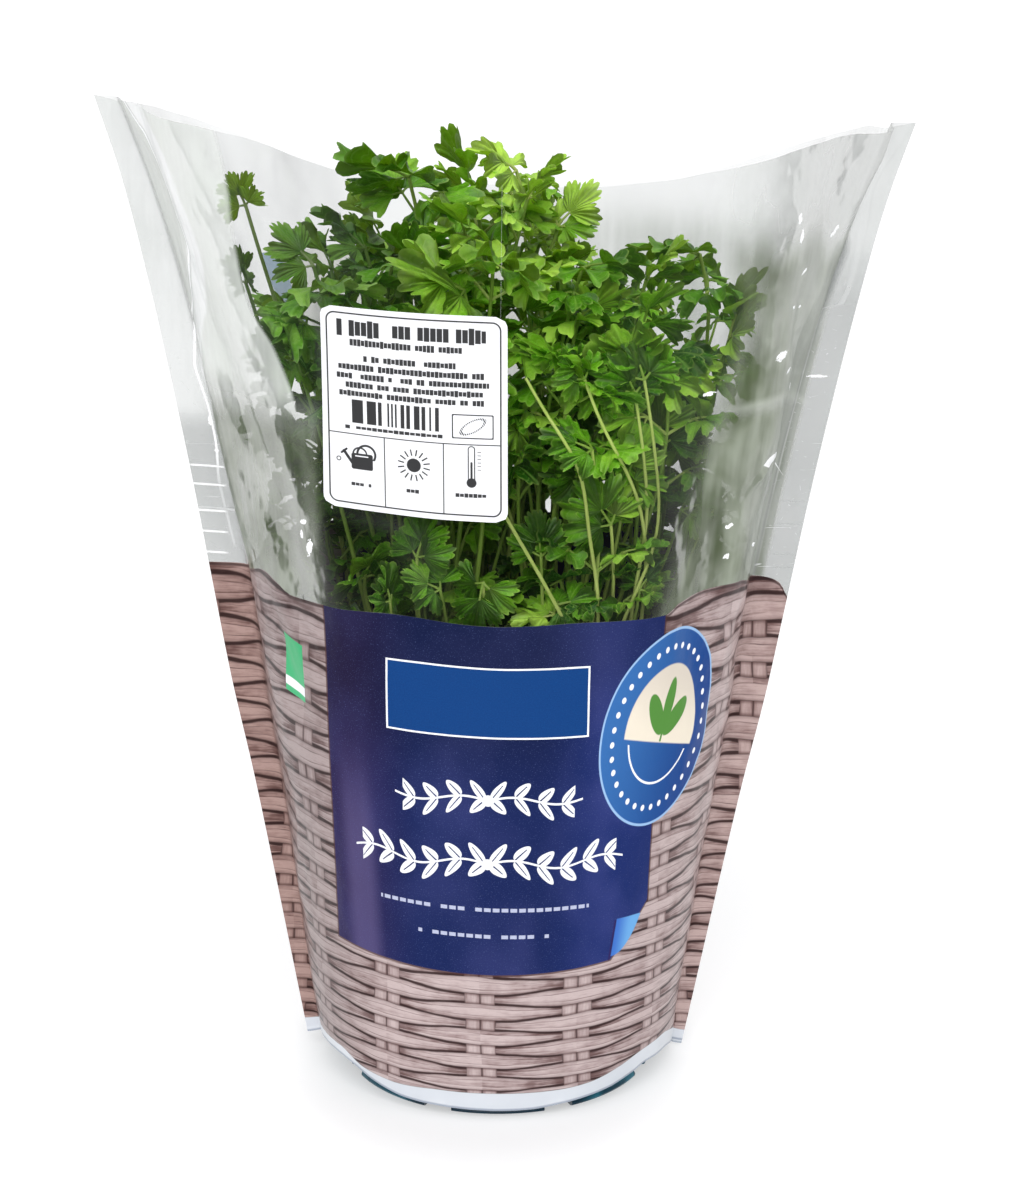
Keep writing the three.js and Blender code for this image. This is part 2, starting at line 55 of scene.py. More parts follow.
# ---------------------------------------------------------------- numbers
# In millimetres, as in the CAD model.
POT_HEIGHT, POT_FOOT_R, POT_SHOULDER_R, POT_RIM_R, POT_RIM_H = 105.0, 47.0, 58.4, 60.0, 12.0
POT_WALL, POT_FLOOR, GAP = 1.3, 1.8, 0.35
DRAIN_SLOTS, DRAIN_W, DRAIN_H, DRAIN_INNER_R = 8, 9.0, 3.6, 37.0
SOIL_TOP, SOIL_CROWN = 92.6, 93.0
SLEEVE_H, SLEEVE_BOTTOM = 294.0, 2.6
FILM, SEAM_GAP, ROW_TILT, LEAN = 0.6, 0.35, 0.0335, (-1.3, 3.7)
HALF_WIDTH = [[0, 58.8], [30, 64.2], [60, 69.6], [90, 75.2], [120, 81.4], [150, 86.6], [180, 91.7], [210, 97.3], [240, 103.4], [270, 110.4], [298, 119.2]]
SEAM_STRIP = [[0, 4.5], [40, 6.5], [100, 10], [160, 13], [220, 12.5], [298, 8]]
DEPTH = [[0, 49.5], [50, 55], [93, 61.6], [105, 62.4], [160, 66], [270, 72], [298, 73]]
ROUNDNESS = 1.95
DIP_FRONT = [[0, 13], [0.2, 12.7], [0.36, 11.4], [0.47, 9.2], [0.6, 5.4], [0.72, 2.4], [0.85, 0.7], [1, 0]]
DIP_BACK = [[0, 29.5], [0.2, 29.2], [0.44, 26.6], [0.57, 22.2], [0.72, 14.4], [0.82, 8], [0.9, 3.6], [0.95, 1.4], [1, 0]]
# Along the front film, in its flat coordinates: the hem, and the print's lower and upper edges.
HEM_FRONT = [[-100, 2.6], [-86, 3.0], [-69, 7.6], [-54, 8.6], [-47, 7.9], [-39.5, 5.6], [-35, 4.3], [-28, 3.0], [-19, 2.6], [-10, 2.5], [0, 2.5], [11, 2.8], [21, 3.9], [30, 5.1], [38, 6.2], [45.5, 7.9], [52, 9.6], [63, 9.4], [85, 3.9], [100, 2.8]]
HEM_BACK = [[-100, 2.6], [-66, 6.5], [-48, 6.8], [-34, 3.0], [0, 2.6], [36, 3.4], [50, 7.6], [66, 7], [86, 2.8], [100, 2.6]]
FOOT_FRONT = [[-100, 7.8], [-87, 7.8], [-72, 10.7], [-54.5, 11.6], [-42, 8.4], [-30, 7.3], [-17, 8.1], [6, 8.6], [18, 8.8], [29, 9.7], [41, 12.3], [52, 15], [62, 15.6], [74, 12.4], [86, 7.6], [100, 7.5]]
TOP_FRONT = [[-150, 156.4], [-108, 156.6], [-96, 158.4], [-82, 161.4], [-75, 159.4], [-68, 157.2], [-53, 158.2], [-28, 159.4], [0, 158.8], [28, 159.5], [48, 159.6], [54, 162.2], [66, 163.7], [81, 163.4], [92, 161], [102, 158.8], [114, 157.2], [117.5, 155.4], [119.4, 151.5], [122, 149]]
# Where the weld lines show on the front film: height, place.
WELD_LEFT = [[160, -112], [172, -115], [184, -117.4], [191, -117.6], [203, -119.6], [210, -121.9], [217, -124.0], [228, -122.8], [238, -116], [245, -111.4], [254, -108.3], [262, -109.8], [272, -114.3], [283, -118.6], [292, -128.8], [298, -136]]
WELD_RIGHT = [[238, 131], [246, 134.6], [260, 137.1], [274, 138.6], [288, 145.7], [298, 152]]
# Where the hazy side panels begin: height, place.
VEIL_LEFT = [[160, -55], [182, -57], [205, -58], [217, -60], [232, -66], [243, -74], [255, -77], [280, -80], [298, -84]]
VEIL_RIGHT = [[160, 50], [172, 54], [195, 60], [226, 70], [245, 74], [262, 66], [280, 62], [298, 62]]
LABEL_W, LABEL_H, LABEL_X, LABEL_Z, LABEL_CORNER = 50.6, 57.0, -22.2, 217.6, 3.0
STALK_R, STALK_TIP_R, CROWN_R, CROWN_H = 1.15, 0.75, 2.7, 5.0
SIDE_ANGLE, TERMINAL_REACH = 62.0, 0.42
SOIL_START = SOIL_CROWN + GAP
# Each row: the crown's x and y, then its leaves (fork x, y, z, heading, pitch,
# roll, leaflet length, bow x, bow y).
SEEDLINGS = [
    [[-17.41, -35.51], [
        [-8.65, -31.89, 262.08, 256.58, 42.06, -6.7, 14.61, -3.91, 4.79],
        [-8.78, -52.77, 250.2, 220.25, 38.26, -37.23, 14.96, 9.52, -14],
        [-22.97, -43.39, 157.95, 261.91, 71.62, 45.84, 11.13, 4.61, -14],
    ]],
    [[21.52, -33.95], [
        [23.7, -41.07, 254.51, 343.84, 15.34, -2.01, 12.52, -14, 3.13],
        [22.8, -38.99, 240.04, 318.14, 28.67, -15.21, 12.17, 5.35, 0.18],
        [28.66, -53.57, 185.55, 83.34, -4.05, -43.38, 13.57, 2.73, -7.09],
    ]],
    [[-10.44, -28.69], [
        [-0.79, -49.64, 256.9, 280.24, 26.35, -30, 14.61, -10.5, -11.6],
        [9.58, -31.57, 235.45, 270.26, 69.42, -4.31, 13.22, -14, 4.48],
        [-0.67, -49.05, 158.58, 292.02, 47.93, -3.54, 10.78, -3.13, 6.07],
    ]],
    [[13.77, -29.6], [
        [18.33, -50.66, 228.36, 248.73, 48.11, -7.55, 13.57, -14, -8.75],
        [6.35, -48.61, 202.14, 280.18, 34.51, 43.25, 11.48, -0.51, 1.62],
        [18, -49.6, 167.29, 207.66, 26.91, 32.91, 11.48, 1.11, -14],
    ]],
    [[30.28, -28.77], [
        [40.65, -43.55, 239.12, 283.58, 42.78, 7.7, 12.52, -3.52, 6.15],
        [37.91, -45.49, 226.97, 245.87, 52, 13.04, 14.61, 5.62, -14],
        [48.02, -38.59, 219.83, 98.96, 29.33, 17.72, 13.91, -14, -9.01],
    ]],
    [[-27.13, -20.69], [
        [-24.89, -16.98, 276.52, 216.73, 34.64, 8.59, 15.3, 1.14, 4.11],
        [-46.24, -37.23, 247.01, 285.55, 14.82, -3.8, 14.96, 5.01, 14],
        [-54.62, -36.4, 223.03, 199.68, 71.62, 35.33, 14.61, -9.15, -2.14],
    ]],
    [[6.88, -20.52], [
        [17.34, -14.14, 262.19, 2.82, 59.78, 24.36, 10.5, 2.37, 0.6],
        [17.42, -15.27, 247.14, 275.77, 38.02, 16.95, 11.48, 10.35, -12.22],
        [12.67, -23.67, 217.62, 5.88, -25.78, 45.84, 13.57, -6.76, 3.94],
    ]],
    [[15.44, -20.89], [
        [42.19, -26.57, 249, 5.62, 58.77, -25.29, 10.5, 9.37, -0.81],
        [38.35, 5.02, 206.72, 254.33, -10.53, -19.7, 12.17, -12.54, -5.15],
        [46.34, -18.25, 161.21, 265.48, 27.38, 28.99, 11.48, 1.28, -14],
    ]],
    [[-20.57, -9.81], [
        [-52.27, -18.37, 251.53, 184.35, 56.49, -29.21, 14.96, -2.98, -1.92],
        [-53.75, -16.04, 160.42, 186.53, 57.2, 36.72, 11.48, -12.89, 14],
        [-50.07, -16.14, 174.81, 300.64, 48.93, -9.16, 10.5, 8.5, 2.05],
    ]],
    [[-7.81, -13.18], [
        [-29.29, -30.36, 253.75, 311.4, 29.24, -11.52, 14.96, -14, -14],
        [-23.51, -13.37, 237.13, 261.57, 69.39, -45.84, 11.48, 1.11, 6.9],
        [-38.03, -36.04, 164.15, 289.68, 47.38, 16.74, 11.48, 1.59, -7.15],
    ]],
    [[-7.1, -5.04], [
        [-6.65, -7.89, 270.83, 227.02, 60.19, -8.44, 13.91, -4.47, -1.61],
        [-10.87, 10.53, 206.8, 192.53, -14.26, 29.68, 11.34, 2.36, 14],
        [-8.13, -2.01, 172.56, 335.34, -0.12, -3.61, 14.29, 9.13, -4.82],
    ]],
    [[39.74, -8], [
        [66.97, -12.35, 229.1, 21.61, 71.62, -25.9, 14.61, 7.97, 0.36],
        [60.9, 3.4, 192.07, 292.56, 11.97, -18.02, 13.22, 8.92, 4.85],
        [58.75, -5.1, 169.83, 344.92, 23.88, 11.53, 10.5, -11.25, -1.25],
    ]],
    [[-42.67, 1.52], [
        [-72.2, -6.82, 267.17, 216.27, 59.16, 41.66, 10.5, 5.34, -2.92],
        [-72.75, -6.17, 244.39, 183.13, 71.62, 33.93, 10.5, -14, 14],
        [-61.65, -5.9, 198.89, 239.54, 29.12, -36.82, 12.17, -4.77, -6.75],
    ]],
    [[-26.9, 1.83], [
        [-38.82, -0.77, 215.34, 155.06, 6.76, 33.13, 14.85, 12.95, -1.22],
        [-48.72, 4.47, 246.96, 124.63, 56.8, 38.57, 11.96, -0.05, 3.22],
        [-54.63, 12.61, 191.14, 202.83, 42, 38.04, 12.54, -4.18, -7.96],
    ]],
    [[13.18, -2.57], [
        [8.58, -22.66, 270.81, 15.36, 61.52, -29.89, 10.5, -5.92, -9.65],
        [12.54, -2.66, 180.03, 216.68, 43.38, 37.88, 11.21, 5.71, -2.74],
        [7.25, 26.98, 198.34, 167.16, -25.72, -14.18, 11.15, -5.64, 9.49],
    ]],
    [[-24.73, 10.34], [
        [-38.55, 1.69, 253.44, 167.63, 45.44, -0.98, 12.17, -1.06, -7.2],
        [-52.35, 13.37, 224.83, 158.18, 41.55, 12.58, 15.63, -11.43, -5.35],
        [-32.21, 13.31, 224.43, 199.18, 4.3, 22.68, 12.5, -8.12, -15.75],
    ]],
    [[-9.68, 12.5], [
        [-33.03, 14.51, 187.39, 89.01, -7.98, 7.1, 11.57, 1.66, -0.85],
        [-21.6, 47.22, 148.98, 200.26, 9.61, -8.9, 11.19, 1.1, 14],
        [-49.67, 24.89, 167.17, 240.35, 67.4, 29.17, 11.64, -4.87, -7.29],
    ]],
    [[0.27, 4.76], [
        [5.53, 3.77, 275.86, 202.14, 38.01, -33.51, 10.5, 5.28, -2.51],
        [8.14, 14.04, 255.4, 113.11, 67.96, -16.1, 12.28, -6.8, 13.53],
        [-9.45, 11.57, 129.07, 142.63, 71.62, 28.27, 15.16, -2.24, 5.12],
    ]],
    [[-20.45, 19.54], [
        [-34.61, 21.97, 252.66, 201.71, 65.82, 1.52, 13.68, 7.36, 4.14],
        [-39.54, 38.63, 219.65, 178.79, -9.91, -3.33, 12.68, 4.33, 3.08],
        [-46.87, 32.1, 192.2, 212.86, 69.14, -35.63, 13.75, 5.56, 14],
    ]],
    [[14.45, 25.76], [
        [29.52, 34.03, 209.72, 219.49, 71.62, 35.54, 11.11, 1.7, -5.25],
        [30.06, 11.14, 236.71, 29.51, -21.48, -45.84, 13.89, 10.59, -11.26],
        [28.48, 41.67, 176.66, 70.48, 51.54, 20.92, 14.4, 12.75, -5.37],
    ]],
    [[-1.42, 37.95], [
        [-19.22, 33.52, 246.45, 9.88, 24.94, 29.79, 13.3, -9, -13.72],
        [-11.63, 45.16, 143.91, 50.39, -15.25, 1.77, 10.58, -1.89, -5.35],
        [9.61, 37.34, 124.67, 32.94, 62.01, 33.24, 12.13, 14, -9.68],
    ]],
    [[26.59, 33.05], [
        [24.34, 22.85, 223.35, 134.59, 68.15, -20.96, 12.08, 2.77, -14],
        [47.99, 23.38, 202.1, 13.3, 20.23, 26.3, 12.71, 3.42, -3.67],
        [59.28, 3.23, 251.46, 174.06, 9.91, 24.62, 13.7, -9.75, -9.14],
    ]],
]


# ---------------------------------------------------------------- helpers
def curve(table):
    """A smooth monotone curve through a table of [place, value]."""
    x, y = np.array(table, float).T
    h = np.diff(x)
    d = np.diff(y) / h
    m = np.zeros_like(y)
    m[0], m[-1] = d[0], d[-1]
    for i in range(1, len(x) - 1):
        if d[i - 1] * d[i] > 0:
            a, b = 2 * h[i] + h[i - 1], h[i] + 2 * h[i - 1]
            m[i] = (a + b) / (a / d[i - 1] + b / d[i])

    def f(q):
        q = np.clip(np.asarray(q, float), x[0], x[-1])
        i = np.clip(np.searchsorted(x, q, side="right") - 1, 0, len(h) - 1)
        t = (q - x[i]) / h[i]
        return (
            (2 * t**3 - 3 * t**2 + 1) * y[i]
            + (t**3 - 2 * t**2 + t) * h[i] * m[i]
            + (3 * t**2 - 2 * t**3) * y[i + 1]
            + (t**3 - t**2) * h[i] * m[i + 1]
        )

    return f


def sm(x, a, b):
    """Smooth step from 0 at a to 1 at b."""
    t = np.clip((np.asarray(x, float) - a) / (b - a), 0, 1)
    return t * t * (3 - 2 * t)


class Grain:
    """Smooth seeded noise over a plane, about -1 to 1."""

    def __init__(self, seed, n=256):
        self.g = np.random.default_rng(seed).uniform(-1, 1, (n, n))
        self.n = n

    def __call__(self, x, y):
        x, y = np.asarray(x, float), np.asarray(y, float)
        xi, yi = np.floor(x).astype(int), np.floor(y).astype(int)
        fx, fy = x - xi, y - yi
        fx, fy = fx * fx * (3 - 2 * fx), fy * fy * (3 - 2 * fy)
        g, n = self.g, self.n
        a, b = g[xi % n, yi % n], g[(xi + 1) % n, yi % n]
        c, d = g[xi % n, (yi + 1) % n], g[(xi + 1) % n, (yi + 1) % n]
        return (a * (1 - fx) + b * fx) * (1 - fy) + (c * (1 - fx) + d * fx) * fy


def make_mesh(name, verts, faces, uvs=None, smooth=True, attributes=None):
    """A mesh object from points in millimetres. uvs: one pair a vertex, by map name."""
    me = bpy.data.meshes.new(name)
    verts = np.asarray(verts, float) * MM
    faces = [tuple(int(i) for i in f) for f in faces] if not isinstance(faces, list) else faces
    me.from_pydata(verts.tolist(), [], faces)
    me.validate()
    if uvs:
        loop_v = np.zeros(len(me.loops), np.int32)
        me.loops.foreach_get("vertex_index", loop_v)
        for key, uv in uvs.items():
            layer = me.uv_layers.new(name=key)
            layer.data.foreach_set("uv", np.asarray(uv, np.float32)[loop_v].ravel())
    for key, value in (attributes or {}).items():
        at = me.attributes.new(key, "FLOAT", "POINT")
        at.data.foreach_set("value", np.asarray(value, np.float32))
    if smooth:
        me.polygons.foreach_set("use_smooth", np.ones(len(me.polygons), bool))
    me.update()
    ob = bpy.data.objects.new(name, me)
    bpy.context.scene.collection.objects.link(ob)
    return ob


def grid_faces(nu, nv, offset=0, flip=False):
    """Quads over rows of nu + 1 points, nv + 1 rows."""
    i, j = np.meshgrid(np.arange(nu), np.arange(nv))
    a = (j * (nu + 1) + i).ravel() + offset
    f = np.stack([a, a + 1, a + nu + 2, a + nu + 1], 1)
    return f[:, ::-1] if flip else f


# ---------------------------------------------------------------- node values
class V:
    """A number in a material's node tree. Arithmetic on it adds nodes."""

    def __init__(self, tree, socket):
        self.t, self.s = tree, socket

    def __add__(self, o): return self.t.math("ADD", self, o)
    def __radd__(self, o): return self.t.math("ADD", o, self)
    def __sub__(self, o): return self.t.math("SUBTRACT", self, o)
    def __rsub__(self, o): return self.t.math("SUBTRACT", o, self)
    def __mul__(self, o): return self.t.math("MULTIPLY", self, o)
    def __rmul__(self, o): return self.t.math("MULTIPLY", o, self)
    def __truediv__(self, o): return self.t.math("DIVIDE", self, o)
    def __rtruediv__(self, o): return self.t.math("DIVIDE", o, self)
    def __pow__(self, o): return self.t.math("POWER", self, o)
    def floor(self): return self.t.math("FLOOR", self)
    def fract(self): return self.t.math("FRACT", self)
    def round(self): return self.t.math("ROUND", self)
    def abs(self): return self.t.math("ABSOLUTE", self)
    def sin(self): return self.t.math("SINE", self)
    def cos(self): return self.t.math("COSINE", self)
    def sqrt(self): return self.t.math("SQRT", self)
    def log(self): return self.t.math("LOGARITHM", self, math.e)
    def min(self, o): return self.t.math("MINIMUM", self, o)
    def max(self, o): return self.t.math("MAXIMUM", self, o)
    def clamp(self): return self.t.math("ADD", self, 0.0, clamp=True)
    def under(self, o): return self.t.math("LESS_THAN", self, o)
    def over(self, o): return self.t.math("GREATER_THAN", self, o)

    def step(self, a, b):
        """Smooth step: 0 at a, 1 at b."""
        if a > b:
            return 1.0 - self.step(b, a)
        n = self.t.nt.nodes.new("ShaderNodeMapRange")
        n.interpolation_type = "SMOOTHSTEP"
        n.inputs["From Min"].default_value = a
        n.inputs["From Max"].default_value = b
        self.t.link(self, n.inputs["Value"])
        return V(self.t, n.outputs["Result"])

    def band(self, a, b, soft):
        """1 between a and b, with soft edges."""
        return self.step(a - soft, a + soft) * self.step(b + soft, b - soft)


class Tree:
    """A material's node tree."""

    def __init__(self, name):
        self.mat = bpy.data.materials.new(name)
        self.mat.use_nodes = True
        self.nt = self.mat.node_tree
        self.nt.nodes.clear()
        self.out = self.nt.nodes.new("ShaderNodeOutputMaterial")

    def link(self, v, socket):
        self.nt.links.new(v.s if isinstance(v, V) else v, socket)

    def put(self, v, socket):
        if isinstance(v, V):
            self.nt.links.new(v.s, socket)
        else:
            socket.default_value = v

    def math(self, op, *args, clamp=False):
        n = self.nt.nodes.new("ShaderNodeMath")
        n.operation = op
        n.use_clamp = clamp
        for i, a in enumerate(args):
            self.put(a, n.inputs[i])
        return V(self, n.outputs[0])

    def uv(self, name):
        n = self.nt.nodes.new("ShaderNodeUVMap")
        n.uv_map = name
        sep = self.nt.nodes.new("ShaderNodeSeparateXYZ")
        self.nt.links.new(n.outputs[0], sep.inputs[0])
        return V(self, sep.outputs[0]), V(self, sep.outputs[1])

    def place(self):
        n = self.nt.nodes.new("ShaderNodeTexCoord")
        sep = self.nt.nodes.new("ShaderNodeSeparateXYZ")
        self.nt.links.new(n.outputs["Object"], sep.inputs[0])
        return [V(self, sep.outputs[i]) for i in range(3)]

    def attribute(self, name):
        n = self.nt.nodes.new("ShaderNodeAttribute")
        n.attribute_name = name
        return V(self, n.outputs["Fac"])

    def vec(self, x, y, z=0.0):
        n = self.nt.nodes.new("ShaderNodeCombineXYZ")
        for i, a in enumerate((x, y, z)):
            self.put(a, n.inputs[i])
        return V(self, n.outputs[0])

    def noise(self, vec, scale=1.0, detail=2.0, rough=0.5):
        n = self.nt.nodes.new("ShaderNodeTexNoise")
        self.link(vec, n.inputs["Vector"])
        n.inputs["Scale"].default_value = scale
        n.inputs["Detail"].default_value = detail
        n.inputs["Roughness"].default_value = rough
        return V(self, n.outputs["Fac"])

    def white(self, vec):
        n = self.nt.nodes.new("ShaderNodeTexWhiteNoise")
        n.noise_dimensions = "3D"
        self.link(vec, n.inputs["Vector"])
        return V(self, n.outputs["Value"])

    def cells(self, vec, scale=1.0, out="Distance", feature="F1"):
        n = self.nt.nodes.new("ShaderNodeTexVoronoi")
        n.feature = feature
        self.link(vec, n.inputs["Vector"])
        n.inputs["Scale"].default_value = scale
        return V(self, n.outputs[out])

    def facing(self):
        """1 - |cos| of the angle between the surface and the line of sight."""
        n = self.nt.nodes.new("ShaderNodeLayerWeight")
        n.inputs["Blend"].default_value = 0.5
        return V(self, n.outputs["Facing"])

    def mix(self, fac, a, b):
        """A colour between a and b, each a colour value or an RGB tuple."""
        n = self.nt.nodes.new("ShaderNodeMix")
        n.data_type = "RGBA"
        n.clamp_factor = True
        self.put(fac, n.inputs[0])
        for c, socket in ((a, n.inputs[6]), (b, n.inputs[7])):
            self.put(c if isinstance(c, V) else (*c, 1.0), socket)
        return V(self, n.outputs[2])

    def times(self, colour, amount):
        """A colour scaled by a number."""
        n = self.nt.nodes.new("ShaderNodeVectorMath")
        n.operation = "SCALE"
        self.put(colour if isinstance(colour, V) else (*colour,), n.inputs[0])
        self.put(amount, n.inputs["Scale"])
        return V(self, n.outputs[0])

    def tint(self, colour, by):
        """A colour multiplied by another one."""
        n = self.nt.nodes.new("ShaderNodeMix")
        n.data_type = "RGBA"
        n.blend_type = "MULTIPLY"
        n.inputs[0].default_value = 1.0
        self.link(colour, n.inputs[6])
        n.inputs[7].default_value = (*by, 1.0)
        return V(self, n.outputs[2])

    def bump(self, height, strength, distance, normal=None):
        n = self.nt.nodes.new("ShaderNodeBump")
        n.inputs["Strength"].default_value = strength
        n.inputs["Distance"].default_value = distance
        self.link(height, n.inputs["Height"])
        if normal is not None:
            self.link(normal, n.inputs["Normal"])
        return V(self, n.outputs[0])

    def shader(self, kind, **inputs):
        n = self.nt.nodes.new(kind)
        for key, v in inputs.items():
            key = key.replace("_", " ")
            s = n.inputs[key]
            if isinstance(v, V):
                self.nt.links.new(v.s, s)
            elif isinstance(v, tuple) and len(v) == 3 and s.type == "RGBA":
                s.default_value = (*v, 1.0)
            else:
                s.default_value = v
        return V(self, n.outputs[0])

    def blend(self, fac, a, b):
        n = self.nt.nodes.new("ShaderNodeMixShader")
        self.put(fac, n.inputs[0])
        self.link(a, n.inputs[1])
        self.link(b, n.inputs[2])
        return V(self, n.outputs[0])

    def finish(self, shader):
        self.link(shader, self.out.inputs["Surface"])
        return self.mat


def rgb(r, g, b):
    """An sRGB colour, 0 to 255, as linear values."""
    def one(c):
        c /= 255
        return c / 12.92 if c <= 0.04045 else ((c + 0.055) / 1.055) ** 2.4
    return (one(r), one(g), one(b))


# ---------------------------------------------------------------- film shape
half_width, seam_strip, depth = curve(HALF_WIDTH), curve(SEAM_STRIP), curve(DEPTH)
dip = {-1: curve(DIP_FRONT), 1: curve(DIP_BACK)}
HALF_N = 120


def section_line(z):
    """The outline of one film at one height: points from the left seam edge to the right one."""
    c, w, b = float(half_width(z)), float(seam_strip(z)), float(depth(z))
    a = c - w
    t = np.linspace(0, math.pi / 2, 81)[1:]
    raw = np.concatenate([
        np.stack([np.linspace(-c, -a, 13), np.zeros(13)], 1),
        np.stack([-a * np.abs(np.cos(t)) ** (2 / ROUNDNESS), b * np.sin(t) ** (2 / ROUNDNESS)], 1),
    ])
    run = np.concatenate([[0], np.cumsum(np.hypot(*np.diff(raw, axis=0).T))])
    at = np.linspace(0, run[-1], HALF_N + 1)
    line = np.stack([np.interp(at, run, raw[:, 0]), np.interp(at, run, raw[:, 1])], 1)
    passes = max(1.0, (0.42 * w / (run[-1] / HALF_N)) ** 2)
    whole = int(passes)
    for k in range(whole + 1):
        share = 1.0 if k < whole else passes - whole
        new = (line[:-2] + 2 * line[1:-1] + line[2:]) / 4
        line[1:-1] += share * (new - line[1:-1])
    return np.concatenate([line, line[-2::-1] * [-1, 1]])


SECTION_Z = np.arange(0, 299, 1.0)
SECTIONS = np.array([section_line(z) for z in SECTION_Z])
HALF_LENGTH = np.hypot(*np.moveaxis(np.diff(SECTIONS[:, : HALF_N + 1], axis=1), 2, 0)).sum(1)


def half_length(z):
    return np.interp(z, SECTION_Z, HALF_LENGTH)


def film_xy(u, z):
    """x and y of the film's inner face at share u (-1 to 1) and height z of the sleeve's own frame."""
    f = np.clip((u + 1) / 2 * 2 * HALF_N, 0, 2 * HALF_N - 1e-6)
    i = np.floor(f).astype(int)
    t = (f - i)[..., None]
    g = np.clip(z, 0, SECTION_Z[-1] - 1e-6)
    j = np.floor(g).astype(int)
    r = (g - j)[..., None]
    low = SECTIONS[j, i] * (1 - t) + SECTIONS[j, i + 1] * t
    high = SECTIONS[j + 1, i] * (1 - t) + SECTIONS[j + 1, i + 1] * t
    return low * (1 - r) + high * r


def row_height(z, u, side):
    x = film_xy(u, z)[..., 0]
    share = np.minimum(1, np.abs(x) / half_width(z))
    k = np.clip((z - 200) / (SLEEVE_H - 200), 0, None)
    return z - dip[side](share) * k * k * (3 - 2 * k)


g1, g2, g3, g4 = Grain(11), Grain(12), Grain(13), Grain(14)


def crease(s, z, a, b, height, width):
    """A short straight ridge from a to b, in flat film coordinates."""
    (ax, ay), (bx, by) = a, b
    dx, dy = bx - ax, by - ay
    n2 = dx * dx + dy * dy
    t = ((s - ax) * dx + (z - ay) * dy) / n2
    tt = np.clip(t, 0, 1)
    d = np.hypot(s - ax - tt * dx, z - ay - tt * dy)
    return height * np.exp(-((d / width) ** 1.5)) * np.sin(np.pi * np.clip(t, 0.02, 0.98)) ** 0.5


def buckle(s, z, s0, z0, radius, turn, height):
    """A small crescent dent, as film makes where it is bent both ways."""
    x, y = s - s0, z - z0
    c, q = math.cos(math.radians(turn)), math.sin(math.radians(turn))
    p, r = x * c + y * q, -x * q + y * c
    bow = p + 0.12 * r * r / radius
    return height * (sm(bow, -radius * 0.5, 0) - sm(bow, 0, radius * 0.16)) * np.exp(-((r / radius) ** 2))


def relief(s, z, side):
    """How far the film stands out from its plain shape, with its folds and creases."""
    L, w = half_length(z), seam_strip(z)
    e = L - np.abs(s)  # distance from the seam's edge
    fin = 1 - sm(e, w * 0.8, w * 1.25)
    body = 1 - fin
    up = sm(z, 118, 185)
    off = 40.0 * side
    d = np.zeros_like(s)
    # long soft folds from the mouth downwards, dying out at the pot's rim
    d += body * up * 1.25 * np.cos(2 * np.pi * (s + 0.16 * (z - 200) + off) / (47 + 0.1 * (z - 200)) + 0.9)
    d += body * up * 0.8 * g1(s / 17.0 + 7 + 9 * side, z / 95.0 + 3)
    d += body * up * 0.35 * g2(s / 7.5 + 0.02 * z + 31 * side, z / 60.0 + 9)
    # the free side panels between pot and seam are slack, lower down too
    calm = sm(e, w * 1.0, w * 2.6)
    slack = body * sm(np.abs(s), 48, 72) * sm(z, 10, 60) * (0.25 + 0.75 * calm)
    d += slack * 0.9 * g3(s / 19.0 + 0.05 * z + 17 * side, z / 46.0 + 5)
    d += slack * 0.28 * g4(s / 6.0 + 0.11 * z, z / 21.0 + 8 * side)
    # creases running up from the rim towards the seams
    for k, (a, b, h) in enumerate([
        ((-62, 118), (-98, 190), 0.7), ((-70, 104), (-104, 160), 0.6), ((-58, 150), (-88, 226), 0.5),
        ((60, 112), (96, 178), 0.7), ((68, 128), (104, 205), 0.6), ((56, 160), (84, 240), 0.55),
        ((-84, 200), (-112, 262), 0.5), ((88, 205), (118, 268), 0.5), ((74, 96), (82, 60), 0.5), ((-72, 92), (-80, 50), 0.5),
    ]):
        d += crease(s, z, a, b, h * (1 if k % 2 else -1), 4.2) * body
    # seam strips: nearly flat, with small buckles across them
    d += fin * 0.25 * g1(e / 9.0 + 50, z / 26.0 + 5 + 8 * np.sign(s))
    d += fin * 0.06 * g2(e / 5.0 + 20, z / 4.2 + 13 * np.sign(s))
    # the hem round the pot's foot
    low = 1 - sm(z, 5, 26)
    d += low * body * 0.7 * g3(s / 15.0 + 3 + 5 * side, 0.0 * z + 2.5)
    # fine crinkle everywhere, stronger in the side panels
    fine = (0.04 + 0.06 * sm(np.abs(s), 40, 80)) * (0.3 + 0.7 * calm)
    d += body * fine * (g4(s / 3.1, z / 3.6 + 40 * side) + 0.6 * g1(s / 1.7 + 9, z / 2.2))
    if side < 0:
        # crescent buckles and stress lines that the front shows
        for s0, z0, r, turn, h in CRESCENTS:
            d += buckle(s, z, s0, z0, r, turn, h)
    # it stays close to the pot's rim and lies flat under the label
    rim = np.exp(-(((z - 101) / 14.0) ** 2)) * (1 - sm(np.abs(s), 50, 75))
    d *= 1 - 0.85 * rim
    if side < 0:
        flat = sm(s, LABEL_X - 32, LABEL_X - 26) * (1 - sm(s, LABEL_X + 26, LABEL_X + 32)) * sm(z, LABEL_Z - 36, LABEL_Z - 28) * (1 - sm(z, LABEL_Z + 28, LABEL_Z + 36))
        d *= 1 - 0.8 * flat
    return d


CRESCENTS = [
    (86.0, 196.0, 6.5, 118, 1.1),
    (98.0, 238.0, 4.0, 100, 0.6),
    (80.0, 236.0, 4.0, 75, 0.5),
    (64.0, 173.0, 3.5, 60, 0.5),
    (70.0, 168.0, 3.5, 120, 0.5),
    (58.0, 178.0, 3.0, 80, 0.4),
    (-72.0, 172.0, 4.0, 75, 0.35),
    (-66.0, 166.0, 4.0, 100, 0.3),
    (-84.0, 205.0, 5.0, 60, 0.3),
]


